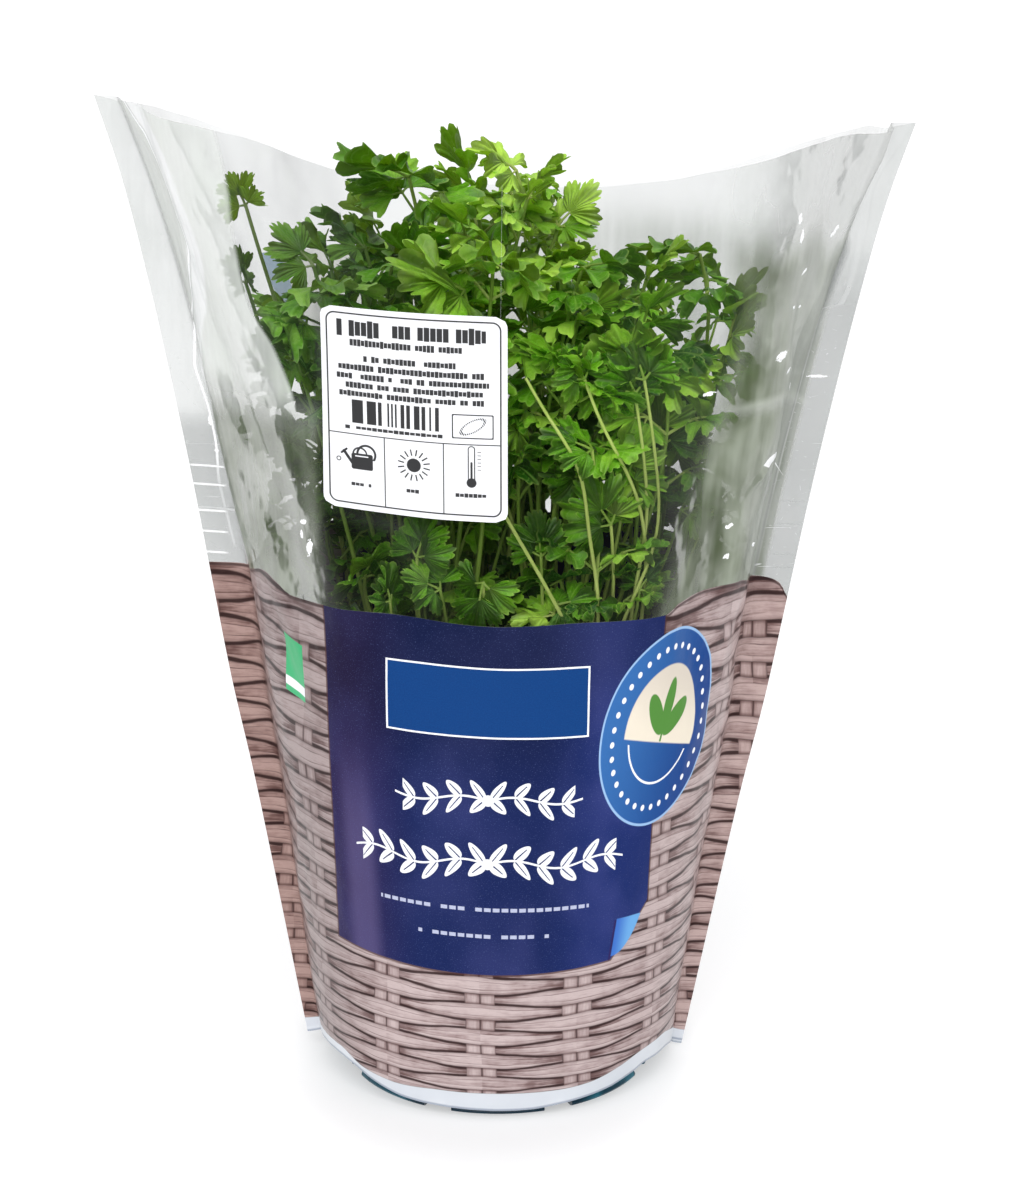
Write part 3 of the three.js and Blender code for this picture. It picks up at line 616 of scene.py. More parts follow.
def film_points(u, z, side, out=0.0, folds=True):
    """Points of the visible film, u and z as grids; out is extra distance outwards."""
    xy = film_xy(u, z)
    x, y = xy[..., 0], xy[..., 1]
    e = half_length(z) * (1 - np.abs(u))
    open_ = sm(e, seam_strip(z) * 0.8, seam_strip(z) * 1.3)
    P = np.stack([x + LEAN[0] + LEAN[1] * z / SLEEVE_H, side * (y + 0.06), z - ROW_TILT * x], -1)
    du, dv = np.gradient(P, axis=1), np.gradient(P, axis=0)
    n = np.cross(du, dv)
    n /= np.linalg.norm(n, axis=-1, keepdims=True) + 1e-12
    n *= np.sign((n[..., 1] * side).sum()) or 1
    s = u * half_length(z)
    d = 0.3 * open_ + out
    if folds:
        r = relief(s, z, side)
        d = d + r * (0.25 + 0.75 * open_) * (1.0 if side < 0 else 1.0)
    P = P + n * d[..., None]
    # both films stay on their own side of the seam plane
    P[..., 1] = side * np.maximum(side * P[..., 1], 0.05)
    return P, n, s


def make_film(name, side, nu, nv):
    t = np.linspace(-1, 1, nu + 1)
    u = t * (1 - 0.10 * (1 - t * t))  # a little closer together towards the seams
    zz = SLEEVE_BOTTOM + (SLEEVE_H - SLEEVE_BOTTOM) * np.linspace(0, 1, nv + 1)
    U, Z = np.meshgrid(u, zz)
    Z = row_height(Z, U, side)
    hem = curve(HEM_FRONT if side < 0 else HEM_BACK)(U * half_length(Z))
    Z = Z + (hem - SLEEVE_BOTTOM) * np.clip(1 - (Z - SLEEVE_BOTTOM) / 34, 0, 1) ** 1.5
    P, n, s = film_points(U, Z, side)
    e = half_length(Z) - np.abs(s)
    foot = Z - (curve(FOOT_FRONT)(s) if side < 0 else hem + 5.4)
    hem_d = Z - hem
    line = curve(TOP_FRONT)(s)
    top = (line if side < 0 else np.where(np.abs(s) > 72, np.minimum(159.0, line - 0.9), 159.0)) - Z
    fold = half_length(Z) - seam_strip(Z) * 0.96
    left_line = curve(WELD_LEFT)(Z) if side < 0 else -fold
    right_line = np.where(Z > 240, curve(WELD_RIGHT)(Z), fold) if side < 0 else fold
    weld = np.where(s < 0, s - left_line, s - right_line)
    # distance inwards of the line where the hazy side panels begin
    veil = np.where(s < 0, s - curve(VEIL_LEFT)(Z), curve(VEIL_RIGHT)(Z) - s)
    return make_mesh(
        name, P.reshape(-1, 3), [tuple(f) for f in grid_faces(nu, nv, flip=side > 0).tolist()],
        uvs={"flat_mm": np.stack([s, Z], -1).reshape(-1, 2)},
        attributes={"edge_mm": e.ravel(), "hem_mm": hem_d.ravel(), "strip_share": (e / seam_strip(Z)).ravel(), "foot_mm": foot.ravel(), "top_mm": top.ravel(), "weld_mm": weld.ravel(), "veil_mm": veil.ravel()},
    )


# ---------------------------------------------------------------- film material
WEAVE_LIGHT = rgb(206, 193, 188)
WEAVE_BASE = rgb(152, 132, 128)
WEAVE_DARK = rgb(106, 82, 79)
WEAVE_GAP = rgb(52, 34, 34)
NAVY = rgb(17, 33, 86)
NAVY_WARM = rgb(42, 32, 78)
BLUE = rgb(0, 56, 120)
PALE_BLUE = rgb(92, 146, 212)
SEAL_BLUE = rgb(12, 62, 134)
WHITE = rgb(240, 242, 246)
CREAM = rgb(232, 222, 204)
GREEN = rgb(56, 172, 112)
LEAF_PRINT = rgb(84, 140, 60)


def weave(t, s, z, top):
    """A printed basket weave: bands of strands that pass before and behind paired stakes. Returns its colour."""
    h = (z - 6.0).max(0.0)
    sway = t.noise(t.vec(s * 0.03, z * 0.03), 1.0, 1.0) - 0.5
    wob = t.noise(t.vec(s * 0.11, z * 0.16), 1.0, 1.0) - 0.5
    v0 = (1.0 + h * 0.0063).log() / 0.0233 + sway * 0.5 + wob * 0.16
    u = (s + (z - 80.0) * 0.02) / 29.0 + 0.18 + sway * 0.12
    # a band is thick where it passes over a stake and thin where it goes behind one
    v = v0 - (u * math.pi).cos() * (v0 * math.pi).cos() * 0.13
    row, f = v.floor(), v.fract()
    k = u.round()
    d = (u - k) * 29.0
    q = (u + row) * 0.5
    D = (q - q.round()).abs() * 58.0  # distance from the nearest stake that shows in this row
    rim = top.step(7.6, 6.4)  # only strands in the rim
    wood = t.noise(t.vec(s * 0.13, z * 1.5), 1.0, 3.0, 0.62) - 0.5
    fibre = t.noise(t.vec(s * 0.5, z * 5.0), 1.0, 2.0, 0.6) - 0.5
    patch = t.noise(t.vec(s * 0.22, z * 0.3), 1.0, 2.0) - 0.5
    # the strands of a band
    m = f * 2.6 + 0.2
    si, sf = m.floor(), m.fract()
    hump = sf * (1.0 - sf) * 4.0
    tone = t.white(t.vec(row, (q - 0.5).floor() * 7.0 + si, 3.0)) - 0.5
    light = 0.44 + (sf - 0.35) * 0.22 + tone * 0.42 + wood * 0.95 + patch * 0.75
    light = light + D.step(6.0, 24.0) * 0.20 - (1.0 - D.step(4.6, 13.0)) * 0.20
    weaver = t.mix((light * 1.6 - 0.3).clamp(), WEAVE_BASE, WEAVE_LIGHT)
    weaver = t.mix((0.42 - light).max(0.0) * 2.0, weaver, WEAVE_DARK)
    groove = (1.0 - hump.step(0.02, 0.34)) * (0.28 + wob + patch * 0.5).clamp()
    # dark slits open between the bands beside the stakes
    fe = f.min(1.0 - f)
    near = (1.0 - D.step(4.0, 21.0))
    slit = (fe - near * 0.17 - 0.035 - wob * 0.10).step(0.05, -0.05)
    shade = (fe - 0.24).step(0.0, -0.2) * 0.34
    shadow = (1.0 - D.step(4.5, 7.5)) * 0.34
    weaver = t.mix(groove.max(shade).max(shadow), weaver, WEAVE_DARK)
    weaver = t.mix((slit * 0.92).max(groove * 0.8), weaver, WEAVE_GAP)
    # the paired stake
    x = d.abs() / 4.6
    xr = (x * (1.0 - x) * 4.0).max(0.0)
    tone2 = t.white(t.vec(k, row, 9.0)) - 0.5
    grain = t.noise(t.vec(s * 1.5, z * 0.16), 1.0, 3.0) - 0.5
    sl = xr * 0.55 + 0.20 + tone2 * 0.25 + grain * 0.9
    stake = t.mix((sl * 1.3 - 0.2).clamp(), WEAVE_BASE, WEAVE_LIGHT)
    stake = t.mix((0.40 - sl).max(0.0) * 1.8, stake, WEAVE_DARK)
    stake = t.mix((1.0 - fe.step(0.0, 0.26)) * 0.75, stake, WEAVE_DARK)
    stake = t.mix((1.0 - xr.step(0.0, 0.42)) * 0.7, stake, WEAVE_GAP)
    shown = (1.0 - (D + wob * 1.6).step(4.3, 4.8)) * (1.0 - rim)
    col = t.mix(shown, weaver, stake)
    return t.mix(fibre.max(0.0) * 0.8, col, WEAVE_DARK)


def film_material(name, side, part="both"):
    """part: both, or for faces that have nothing else: print (opaque), weave (print without panels), clear, spots
    (clear film with bright creases, painted as glints).
    """
    t = Tree(name)
    s, z = t.uv("flat_mm")
    e, share = t.attribute("edge_mm"), t.attribute("strip_share")
    foot, top, weld = t.attribute("foot_mm"), t.attribute("top_mm"), t.attribute("weld_mm")
    veil_mm = t.attribute("veil_mm")
    x = t.facing()
    on_strip = share.step(1.15, 0.9)

    # ------------------------------------------------ the print
    col = WHITE
    if part not in ("clear", "spots"):
        col = weave(t, s, z, top)
        # the seam strips and their neighbourhood are darker and warmer
        warm = share.step(1.9, 0.95)
        brown = t.tint(col, (0.73, 0.57, 0.50))
        col = t.mix(warm * (0.82 - s.over(0.0) * 0.40), col, brown)
        col = t.tint(col, (1.0, 0.935, 0.975))
        if side < 0:
            # painted shade: the print is a little darker towards its left side, as lit from the right
            painted_shade = 0.86 - s.step(-30.0, -62.0) * 0.24 + s.step(30.0, 62.0) * 0.02
            painted_shade = painted_shade + on_strip * (0.26 - s.over(0.0) * 0.20)
        else:
            painted_shade = 0.90 + on_strip * 0.06
        col = t.times(col, painted_shade)
        col = t.mix(top.band(0.2, 1.1, 0.3) * 0.75, col, WEAVE_GAP)

        if side < 0 and part != "weave":
            speck = t.noise(t.vec(s * 2.6, z * 2.6), 1.0, 2.0, 0.7)
            navy = t.mix(s.step(-20.0, -46.0), NAVY, NAVY_WARM)
            veil = t.noise(t.vec(s * 0.045 + 2.0, z * 0.03), 1.0, 2.0)
            navy = t.mix((veil - 0.42).max(0.0) * 0.9, navy, rgb(74, 78, 140))
            right_side = s.step(10.0, 34.0)
            # painted light and shade: the navy is darker towards its top, except on the right, where it is lighter
            # lower down
            navy = t.times(navy, 1.0 - z.step(98.0, 142.0) * (1.0 - right_side) * 0.46 + right_side * z.step(150.0, 126.0) * 0.48)
            # a painted reflection: a lighter band down the navy's left side, low down
            navy = t.mix((s + 43.0 + (z - 100.0) * 0.06).abs().step(8.0, 2.0) * z.step(124.0, 84.0) * 0.5, navy, rgb(98, 88, 134))
            navy = t.mix(speck.step(0.60, 0.70) * 0.55, navy, rgb(96, 108, 160))
            lo = 49.0 + (s + 6.0) * (s + 6.0) * 0.0012
            left = -52.6 + (159.0 - z) * 0.009
            right = 48.3
            # the lower right corner is cut off along a line and folded over
            off = (s - 45.3) * 0.8 - (z - 64.5) * 0.6  # distance past the cut
            fold_ = (s - 37.0) * 0.9903 - (z - 64.5) * 0.1389  # distance right of the fold
            inside = (s - left).step(-0.12, 0.12) * (right - s).step(-0.12, 0.12) * (z - lo).step(-0.12, 0.12)
            outline = (s - left + 0.5).step(-0.12, 0.12) * (right - s + 0.5).step(-0.12, 0.12) * (z - lo + 0.55).step(-0.12, 0.12)
            kept = off.step(0.12, -0.12)
            bulge = off - (1.0 - ((s - 41.2) / 5.2) * ((s - 41.2) / 5.2)) * 1.9
            flap = bulge.step(0.12, -0.12) * fold_.step(-0.12, 0.12) * z.step(64.7, 64.3) * z.step(50.2, 50.9)
            col = t.mix(outline * (off - 0.5).step(0.12, -0.12) * 0.8, col, rgb(74, 44, 44))
            col = t.mix(inside * kept, col, navy)
            col = t.mix(flap, col, t.mix(fold_.step(0.0, 6.0), rgb(58, 110, 196), rgb(104, 166, 222)))
            col = t.mix(fold_.band(-0.75, -0.1, 0.1) * z.band(50.8, 64.2, 0.2) * 0.8, col, rgb(48, 30, 84))
            # a framed plain rectangle
            fx, fy = (s + 3.1).abs(), (z - 135.7).abs()
            col = t.mix(fx.under(28.9) * fy.under(10.7), col, WHITE)
            col = t.mix(fx.under(28.35) * fy.under(10.15), col, t.mix(speck.step(0.3, 0.8) * 0.5, BLUE, rgb(8, 78, 142)))
            # a plain ornament: a wavy sprig with open leaves, and a smaller one under it
            ax, ay = (s + 2.5).abs(), z - 106.0
            for half, step_, y0, leaf_l, leaf_w, wave in ((27.0, 6.75, 0.0, 5.4, 1.35, 1.2), (40.5, 6.75, -20.0, 5.8, 1.5, 1.4)):
                yy = ay - y0 - (ax * (2 * math.pi / 27.0)).sin() * wave
                stem = ax.under(half) * yy.abs().under(0.34)
                cell = ax / step_
                cx = (cell.fract() - 0.12) * step_
                cy = yy.abs()
                c1, q1 = math.cos(math.radians(50)), math.sin(math.radians(50))
                lx, ly = cx * c1 + cy * q1, cy * c1 - cx * q1
                lx = (lx - leaf_l * 0.62) / (leaf_l * 0.58)
                ly = ly / (leaf_w * (1.0 - lx * 0.28).max(0.3))
                rr = lx * lx + ly * ly
                leaf = rr.step(1.06, 0.94) * cell.under(half / step_ - 0.35)
                leaf = leaf * (1.0 - (ly * leaf_w).abs().under(0.16) * lx.under(0.55))
                dot = (ax * ax + (ay - y0) * (ay - y0)).step(3.4, 2.6)
                col = t.mix(stem.max(leaf).max(dot), col, WHITE)
            # two rows of short dashes below it
            for y0, half, seed in ((71.0, 31.0, 4.0), (62.0, 19.0, 7.0)):
                cell = (s + 3.6) / 2.5
                fr = cell.fract()
                gap = t.white(t.vec((cell / 1.0).floor(), seed, 2.0)).under(0.13)
                dash = fr.band(0.10, 0.86, 0.05) * (z - y0).abs().under(0.62) * (1.0 - gap) * (s + 3.6).abs().under(half)
                col = t.mix(dash * 0.72, col, rgb(206, 212, 238))
            # a round plain seal with a leaf pair
            c4, q4 = math.cos(math.radians(14)), math.sin(math.radians(14))
            px = ((s - SEAL[0]) * c4 - (z - SEAL[1]) * q4) / SEAL[2]
            py = ((s - SEAL[0]) * q4 + (z - SEAL[1]) * c4) / SEAL[3]
            r = (px * px + py * py).sqrt()
            seal_col = t.mix(px.step(-1.0, 0.9), rgb(50, 106, 172), SEAL_BLUE)
            ang = t.math("ARCTAN2", py, px)
            beads = ((ang * (34.0 / (2 * math.pi))).fract() - 0.5) * (2 * math.pi * 0.81 / 34.0)
            bead = (beads * beads + (r - 0.81) * (r - 0.81)).step(0.0013, 0.0007)
            disc = r.step(0.645, 0.625)
            low_ = py.step(-0.14, -0.16)
            picture = t.mix(py.step(-0.1, 0.6), CREAM, rgb(214, 204, 190))
            mx = px.abs()
            a2, b2 = math.cos(math.radians(48)), math.sin(math.radians(48))
            ux, uy = mx * a2 + (py + 0.08) * b2, (py + 0.08) * a2 - mx * b2
            ux, uy = (ux - 0.27) / 0.25, uy / 0.105
            sprig = (ux * ux + uy * uy).step(1.08, 0.92).max((mx / 0.085 * mx / 0.085 + ((py - 0.26) / 0.24) * ((py - 0.26) / 0.24)).step(1.1, 0.9))
            sprig = sprig.max(mx.under(0.016) * py.band(-0.14, 0.1, 0.01))
            picture = t.mix(sprig, picture, LEAF_PRINT)
            inner = t.mix(low_, picture, seal_col)
            ring = (r - 0.56).abs().under(0.012) * py.under(-0.2)
            inner = t.mix(ring, inner, WHITE)
            seal_col = t.mix(bead, seal_col, WHITE)
            seal_col = t.mix(disc, seal_col, inner)
            seal_col = t.mix(r.step(0.965, 0.975), seal_col, rgb(150, 186, 226))
            col = t.mix(r.step(1.0, 0.992), col, seal_col)
            # a small plain patch at the left
            gx, gy = s - PATCH[0], z - PATCH[1] + (s - PATCH[0]) * 0.18
            gm = gx.abs().under(5.0) * gy.abs().under(9.0)
            patch = t.mix(gy.step(-9.0, 9.0), rgb(70, 180, 122), GREEN)
            patch = t.mix(gy.band(-7.2, -4.4, 0.15), patch, WHITE)
            col = t.mix(gm, col, patch)

    if part in ("clear", "spots"):
        printed = s * 0.0
    else:
        printed = foot.step(-0.12, 0.12) * top.step(-0.12, 0.12)
    if side > 0 and part != "weave":
        # plain panels on the back film: navy below, pale above with a blue band at one side
        if part not in ("clear", "spots"):
            low = (s.abs() - 54.0).step(0.12, -0.12) * (z - 49.0).step(-0.12, 0.12)
            speck = t.noise(t.vec(s * 0.9, z * 0.9), 1.0, 1.0).step(0.66, 0.70)
            col = t.mix(low, col, t.mix(speck * z.step(140.0, 152.0) * 0.8, rgb(24, 30, 84), rgb(46, 120, 214)))
        lean = s - (244.0 - z) * 0.42
        pan = lean.step(-83.3, -82.7) * s.step(6.3, 5.7) * z.band(166.0, 244.0, 0.3)
        band_ = lean.step(-74.7, -75.3)
        col = t.mix(pan, col, t.mix(band_, rgb(222, 208, 198), rgb(122, 160, 204)))
        panel = pan * (0.50 + band_ * 0.3)
        printed = printed.max(panel)
    if part in ("print", "weave"):
        crinkle = t.noise(t.vec(s * 0.22, z * 0.16), 1.0, 3.0, 0.55)
        return t.finish(t.shader("ShaderNodeBsdfPrincipled", Base_Color=col, Roughness=0.30, IOR=1.40, Normal=t.bump(crinkle, 0.2, 0.0007)))

    if part == "both":
        # a white coat under the foot of the print
        hem = foot.step(0.12, -0.12)
        # painted shade: a dark blue-grey line along the hem's lower edge, where the pot's foot lies in shadow under it
        coat = t.mix(t.attribute("hem_mm").step(1.0, 0.35) * 0.6, rgb(222, 226, 234), rgb(98, 116, 146))
        col = t.mix(hem, col, coat)
        cover = printed.max(hem * 0.9)
    else:
        cover = printed

    # ------------------------------------------------ the clear film
    grit = t.noise(t.vec(s * 0.5, z * 0.5), 1.0, 3.0)
    frost = t.noise(t.vec(s * 0.9 + 4.0, z * 0.9), 1.0, 2.0, 0.6)
    # painted highlights mixed with real marks: the weld line and the stress lines across the strips drawn white as
    # glints, scuffs, and a painted shadow line beside the weld
    line = (weld.abs() - z.step(214.0, 240.0) * 0.25).step(0.66, 0.30) * z.step(160.0, 164.0) * (0.35 + z.step(178.0, 192.0) * 0.65) * grit.step(0.24, 0.36)
    line = line * (1.0 - s.over(0.0) * 0.80)
    under = (weld - 1.5).abs().step(1.1, 0.2) * z.step(170.0, 190.0) * (0.40 - s.over(0.0) * 0.20)
    rows = t.noise(t.vec(s * 0.015 + 3.0, z * 0.62), 1.0, 2.0, 0.7).step(0.655, 0.675) * on_strip * z.band(158.0, 200.0, 3.0) * 0.5
    white = (line * 1.0).max(rows)
    if side < 0 and part != "clear":
        # the left strip's stress lines drawn white, each with a painted shadow line just below; dark lines across the
        # right strip
        for zz_ in (186.1, 180.4, 172.4, 166.0, 159.6):
            white = white.max((z - zz_ + (s + 120.0) * 0.03).abs().step(0.42, 0.18) * (s + 120.5).abs().step(6.8, 4.4))
            under = under.max((z - zz_ + 0.9 + (s + 120.0) * 0.03).abs().step(0.5, 0.2) * (s + 120.5).abs().step(6.4, 4.4) * 0.4)
        for zz_ in (181.0, 174.0, 164.6, 160.4):
            under = under.max((z - zz_).abs().step(0.4, 0.15) * (s - 119.5).abs().step(6.0, 3.0) * 0.5)
        # painted highlights: white glints on the creases
        for cs, cz, rs, rz, turn in PAINTED_GLINTS:
            c6, q6 = math.cos(math.radians(turn)), math.sin(math.radians(turn))
            gx = ((s - cs) * c6 + (z - cz) * q6) / rs
            gy = ((z - cz) * c6 - (s - cs) * q6) / rz
            white = white.max((gx * gx + gy * gy + (frost - 0.5) * 3.6).step(1.05, 0.85))
        # a painted highlight: a crescent glint
        q = (s - 86.0) / 31.0
        up = 198.6 + q * 12.73 - q * q * 22.33
        white = white.max((up - z).step(-0.2, 0.2) * (z - up + (q * 24.0).min(3.3) * (1.0 - q)).step(-0.2, 0.2) * q.over(0.0) * q.under(1.0))
    scuff = t.cells(t.vec(s * 0.11, z * 0.24), 1.0, "Distance", "DISTANCE_TO_EDGE").step(0.012, 0.0)
    scuff = scuff * share.step(3.4, 1.2) * grit.step(0.55, 0.62) * z.band(150.0, 262.0, 8.0)
    white = white.max(scuff * 0.4)
    streak = t.noise(t.vec(s * 0.075, z * 0.012), 1.0, 3.0, 0.6)
    cloudy = t.noise(t.vec(s * 0.035 + 9.0, z * 0.03), 1.0, 2.0)
    zone = share.step(6.5, 2.5)
    haze = zone * ((streak - 0.40).max(0.0) * 0.5 + (cloudy - 0.42).max(0.0) * 0.4) + on_strip * 0.03
    cloud = t.mix(streak.step(0.35, 0.65), rgb(176, 188, 174), rgb(216, 219, 218))
    if side < 0:
        # partly real haze and partly a painted reflection: the side panels are hazy up to a clear line on the left and
        # a soft one on the right
        left, right = s.under(0.0), s.over(0.0)
        lv = veil_mm.step(1.6, -0.4) * left
        rv = veil_mm.step(9.0, -5.0) * right
        low_l = z.step(222.0, 204.0) * left
        low_r = (z + (streak - 0.5) * 22.0).step(275.0, 256.0) * right
        body = (share + low_r * 0.62).step(1.0, 1.5)
        thin = 0.30 + (streak - 0.5) * (0.9 - right * 0.45) + (cloudy - 0.5) * 0.7
        upper_l = lv * body * (thin + 0.36).clamp() * (1.0 - low_l)
        lower_l = low_l * body * s.step(-49.0, -54.0) * (0.62 + (streak - 0.5) * 1.1 + (cloudy - 0.5) * 0.8 - s.step(-70.0, -62.0) * 0.28).clamp()
        upper_r = rv * body * (thin + 0.14).clamp() * (1.0 - low_r)
        lower_r = low_r * rv * body * (0.78 + (streak - 0.5) * 0.7 + (cloudy - 0.5) * 1.1).clamp()
        bow = z - 218.6 + (s - 82.0) * (s - 82.0) * 0.0042
        arch = bow.band(-1.0, 1.0, 1.6) * right * body * (0.10 + cloudy * 0.55) * s.step(62.0, 74.0)
        lower_r = lower_r * (1.0 - bow.band(-3.0, 0.0, 1.5) * 0.25)
        strips = on_strip * (left * (z.step(206.0, 196.0) * 0.40 + 0.07) + right * (z.step(262.0, 236.0) * 0.34 + 0.18))
        # painted shade: the right strip is darker and greener on its inner side, lower down
        inner = on_strip * share.step(0.56, 0.74) * right * z.step(252.0, 228.0) * 0.72
        beside = weld.band(0.6, 15.0, 1.5) * z.step(196.0, 216.0) * left * 0.34
        haze = haze.max(upper_l).max(lower_l).max(upper_r).max(lower_r).max(strips).max(beside).max(inner)
        cloud = t.mix(right, t.mix(cloudy, rgb(226, 228, 226), rgb(206, 212, 204)), rgb(204, 207, 204))
        swirl = t.noise(t.vec(s * 0.055 + cloudy * 2.0, z * 0.05 + streak), 1.0, 2.0, 0.6)
        # painted shade: lower down the haze turns a darker grey-green, from the leaves behind it
        haze_shade = t.mix((streak * 0.55 + swirl * 0.45).step(0.38, 0.62), rgb(92, 103, 76), rgb(158, 165, 149))
        haze_shade = t.times(haze_shade, 1.0 - right * 0.08 - left * 0.15)
        haze_shade = t.mix(s.step(84.0, 104.0) * 0.45, haze_shade, rgb(188, 191, 187))
        cloud = t.mix((low_l.max(low_r) * body).clamp(), cloud, haze_shade)
        cloud = t.mix((strips * 4.0).clamp(), cloud, rgb(146, 149, 148))
        cloud = t.mix(inner, cloud, rgb(120, 127, 108))
        cloud = t.mix((beside * 3.0).clamp(), cloud, rgb(240, 242, 242))
        cloud = t.mix(arch, cloud, rgb(196, 202, 190))
    else:
        # painted shade: a darker, greener cast on one half, from the leaves behind it
        cast = s.step(-34.0, 8.0) * share.step(0.6, 1.3) * z.band(160.0, 258.0, 9.0)
        haze = haze.max(cast * (0.34 + (streak - 0.5) * 0.7).clamp())
        cloud = t.mix(cast, cloud, rgb(104, 120, 92))
    cloud = t.mix(under, cloud, rgb(120, 126, 122))
    cloud = t.mix(white, cloud, rgb(253, 254, 255))
    body_col = t.mix(cover, cloud, col)
    solid = cover.max(white).max((haze.max(under) * (1.0 - cover)).clamp())

    gloss = (x ** 2.0) * (2.9 if side < 0 else 1.2) + 0.002
    gloss = gloss.min(0.60 if side < 0 else 0.34)
    clear = t.shader("ShaderNodeBsdfTransparent", Color=(0.905, 0.911, 0.908))
    crinkle = t.noise(t.vec(s * 0.22, z * 0.16), 1.0, 1.0, 0.55)
    shine = t.shader("ShaderNodeBsdfGlossy", Color=(1.0, 1.0, 1.0), Roughness=0.07, Normal=t.bump(crinkle, 0.22, 0.0010))
    film = t.blend(gloss, clear, shine)
    if part in ("clear", "spots"):
        ink = t.shader("ShaderNodeBsdfPrincipled", Base_Color=body_col, Roughness=0.30, IOR=1.40)
    else:
        ink = t.shader("ShaderNodeBsdfPrincipled", Base_Color=body_col, Roughness=0.30, IOR=1.40, Normal=t.bump(crinkle, 0.2, 0.0007))
    return t.finish(t.blend(solid, film, ink))


# Painted highlights: small glints where the film is creased: place, half sizes, turn in degrees.
PAINTED_GLINTS = [
    (-58.8, 182.2, 1.5, 0.8, 20), (-57.1, 174.6, 2.6, 1.2, 70), (-60.2, 178.0, 0.7, 1.3, 0), (-117.6, 190.9, 1.0, 0.6, 0), (-119.4, 200.0, 0.8, 1.6, 0),
    (86.0, 271.4, 0.9, 1.5, 0), (88.2, 266.2, 0.9, 2.0, 0), (111.5, 264.6, 2.6, 0.8, 40), (94.2, 255.2, 1.6, 0.6, 20),
    (91.3, 245.0, 0.9, 0.5, 0), (97.0, 244.2, 0.9, 0.5, 0), (88.0, 231.4, 3.2, 1.5, 10), (94.6, 225.9, 1.4, 0.6, 30),
    (104.0, 219.0, 2.2, 1.0, -30), (60.2, 223.0, 2.2, 0.6, 10), (126.0, 219.2, 3.2, 0.4, 0), (73.0, 182.2, 1.6, 0.7, 20),
    (91.5, 172.4, 1.4, 0.7, 0), (73.2, 172.8, 1.3, 0.8, 0), (102.0, 161.4, 2.2, 0.9, 10),
]
SEAL = (50.4, 124.3, 20.8, 31.0)
PATCH = (-68.2, 134.8)


# ---------------------------------------------------------------- parts so far
film_front = make_film("film_front", -1, 290, 230)
film_back = make_film("film_back", 1, 200, 150)
for ob, side in ((film_front, -1), (film_back, 1)):
    # one material where print and clear film meet and at the foot, and four for the rest
    for part in ("both", "print", "weave", "clear", "spots") if side < 0 else ("both", "print", "weave", "clear"):
        ob.data.materials.append(film_material(ob.name + ("" if part == "both" else "_" + part), side, part))
    corners = np.zeros(len(ob.data.polygons) * 4, np.int32)
    ob.data.polygons.foreach_get("vertices", corners)
    reach = {}
    for key in ("foot_mm", "top_mm"):
        value = np.zeros(len(ob.data.vertices), np.float32)
        ob.data.attributes[key].data.foreach_get("value", value)
        reach[key] = value[corners].reshape(-1, 4)
    slot_of = np.zeros(len(ob.data.polygons), np.int32)
    slot_of[(reach["foot_mm"].min(1) > 0.3) & (reach["top_mm"].min(1) > 0.3)] = 1
    slot_of[reach["top_mm"].max(1) < -0.3] = 3
    flat = np.zeros(len(corners) * 2, np.float32)
    ob.data.uv_layers["flat_mm"].data.foreach_get("uv", flat)
    low_, high_ = flat.reshape(-1, 4, 2).min(1), flat.reshape(-1, 4, 2).max(1)

    def meets(boxes):
        hit = np.zeros(len(low_), bool)
        for s0, z0, s1, z1 in boxes:
            hit |= (high_[:, 0] > s0) & (low_[:, 0] < s1) & (high_[:, 1] > z0) & (low_[:, 1] < z1)
        return hit

    if side < 0:
        panels = [(-54.5, 47.5, 50.0, 170.0), (SEAL[0] - 22.5, SEAL[1] - 33.0, SEAL[0] + 22.5, SEAL[1] + 33.0), (PATCH[0] - 6.5, PATCH[1] - 11.5, PATCH[0] + 6.5, PATCH[1] + 11.5)]
        spots = [(cs - 2.3 * max(rs, rz) - 0.6, cz - 2.3 * max(rs, rz) - 0.6, cs + 2.3 * max(rs, rz) + 0.6, cz + 2.3 * max(rs, rz) + 0.6) for cs, cz, rs, rz, turn in PAINTED_GLINTS]
        spots += [(85.0, 180.0, 118.5, 205.0), (-200.0, 150.0, -112.5, 190.0), (112.5, 150.0, 200.0, 184.0)]
    else:
        panels, spots = [(-55.0, 48.0, 55.0, 400.0)], []
    slot_of[(slot_of == 1) & ~meets(panels)] = 2
    slot_of[(slot_of == 3) & meets(spots)] = 4
    ob.data.polygons.foreach_set("material_index", slot_of)
for ob, node in ((film_front, "sleeve_front"), (film_back, "sleeve_back")):
    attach(ob, "root")
    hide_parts(node)
    flat_w = 2 * float(HALF_LENGTH.max())

# ---------------------------------------------------------------- label
def make_label():
    nu, nv = 44, 48
    X = np.linspace(-LABEL_W / 2, LABEL_W / 2, nu + 1)
    Y = np.linspace(-LABEL_H / 2, LABEL_H / 2, nv + 1)
    A, B = np.meshgrid(X, Y)
    # rounded corners: rows near the top and bottom are drawn in
    over = np.clip(np.abs(B) - (LABEL_H / 2 - LABEL_CORNER), 0, None)
    inset = LABEL_CORNER - np.sqrt(np.clip(LABEL_CORNER**2 - over**2, 0, None))
    A = A * (1 - inset / (LABEL_W / 2))
    z = LABEL_Z + B
    # the share of the section at each x
    grid = np.linspace(-0.75, 0.75, 1501)
    U = np.empty_like(A)
    for j in range(nv + 1):
        xs = film_xy(grid, np.full_like(grid, z[j, 0]))[:, 0] + LEAN[0] + LEAN[1] * z[j, 0] / SLEEVE_H
        U[j] = np.interp(A[j] + LABEL_X, xs, grid)
    P, n, s = film_points(U, z, -1, out=0.45)
    # one corner has come a little loose
    lift = np.clip((A - 14) / 11, 0, 1) ** 2 * np.clip((-B - 17) / 11, 0, 1) ** 2
    P = P + n * (0.9 * lift)[..., None]
    return make_mesh("label", P.reshape(-1, 3), [tuple(f) for f in grid_faces(nu, nv).tolist()],
                     uvs={"label_mm": np.stack([A, B], -1).reshape(-1, 2)})


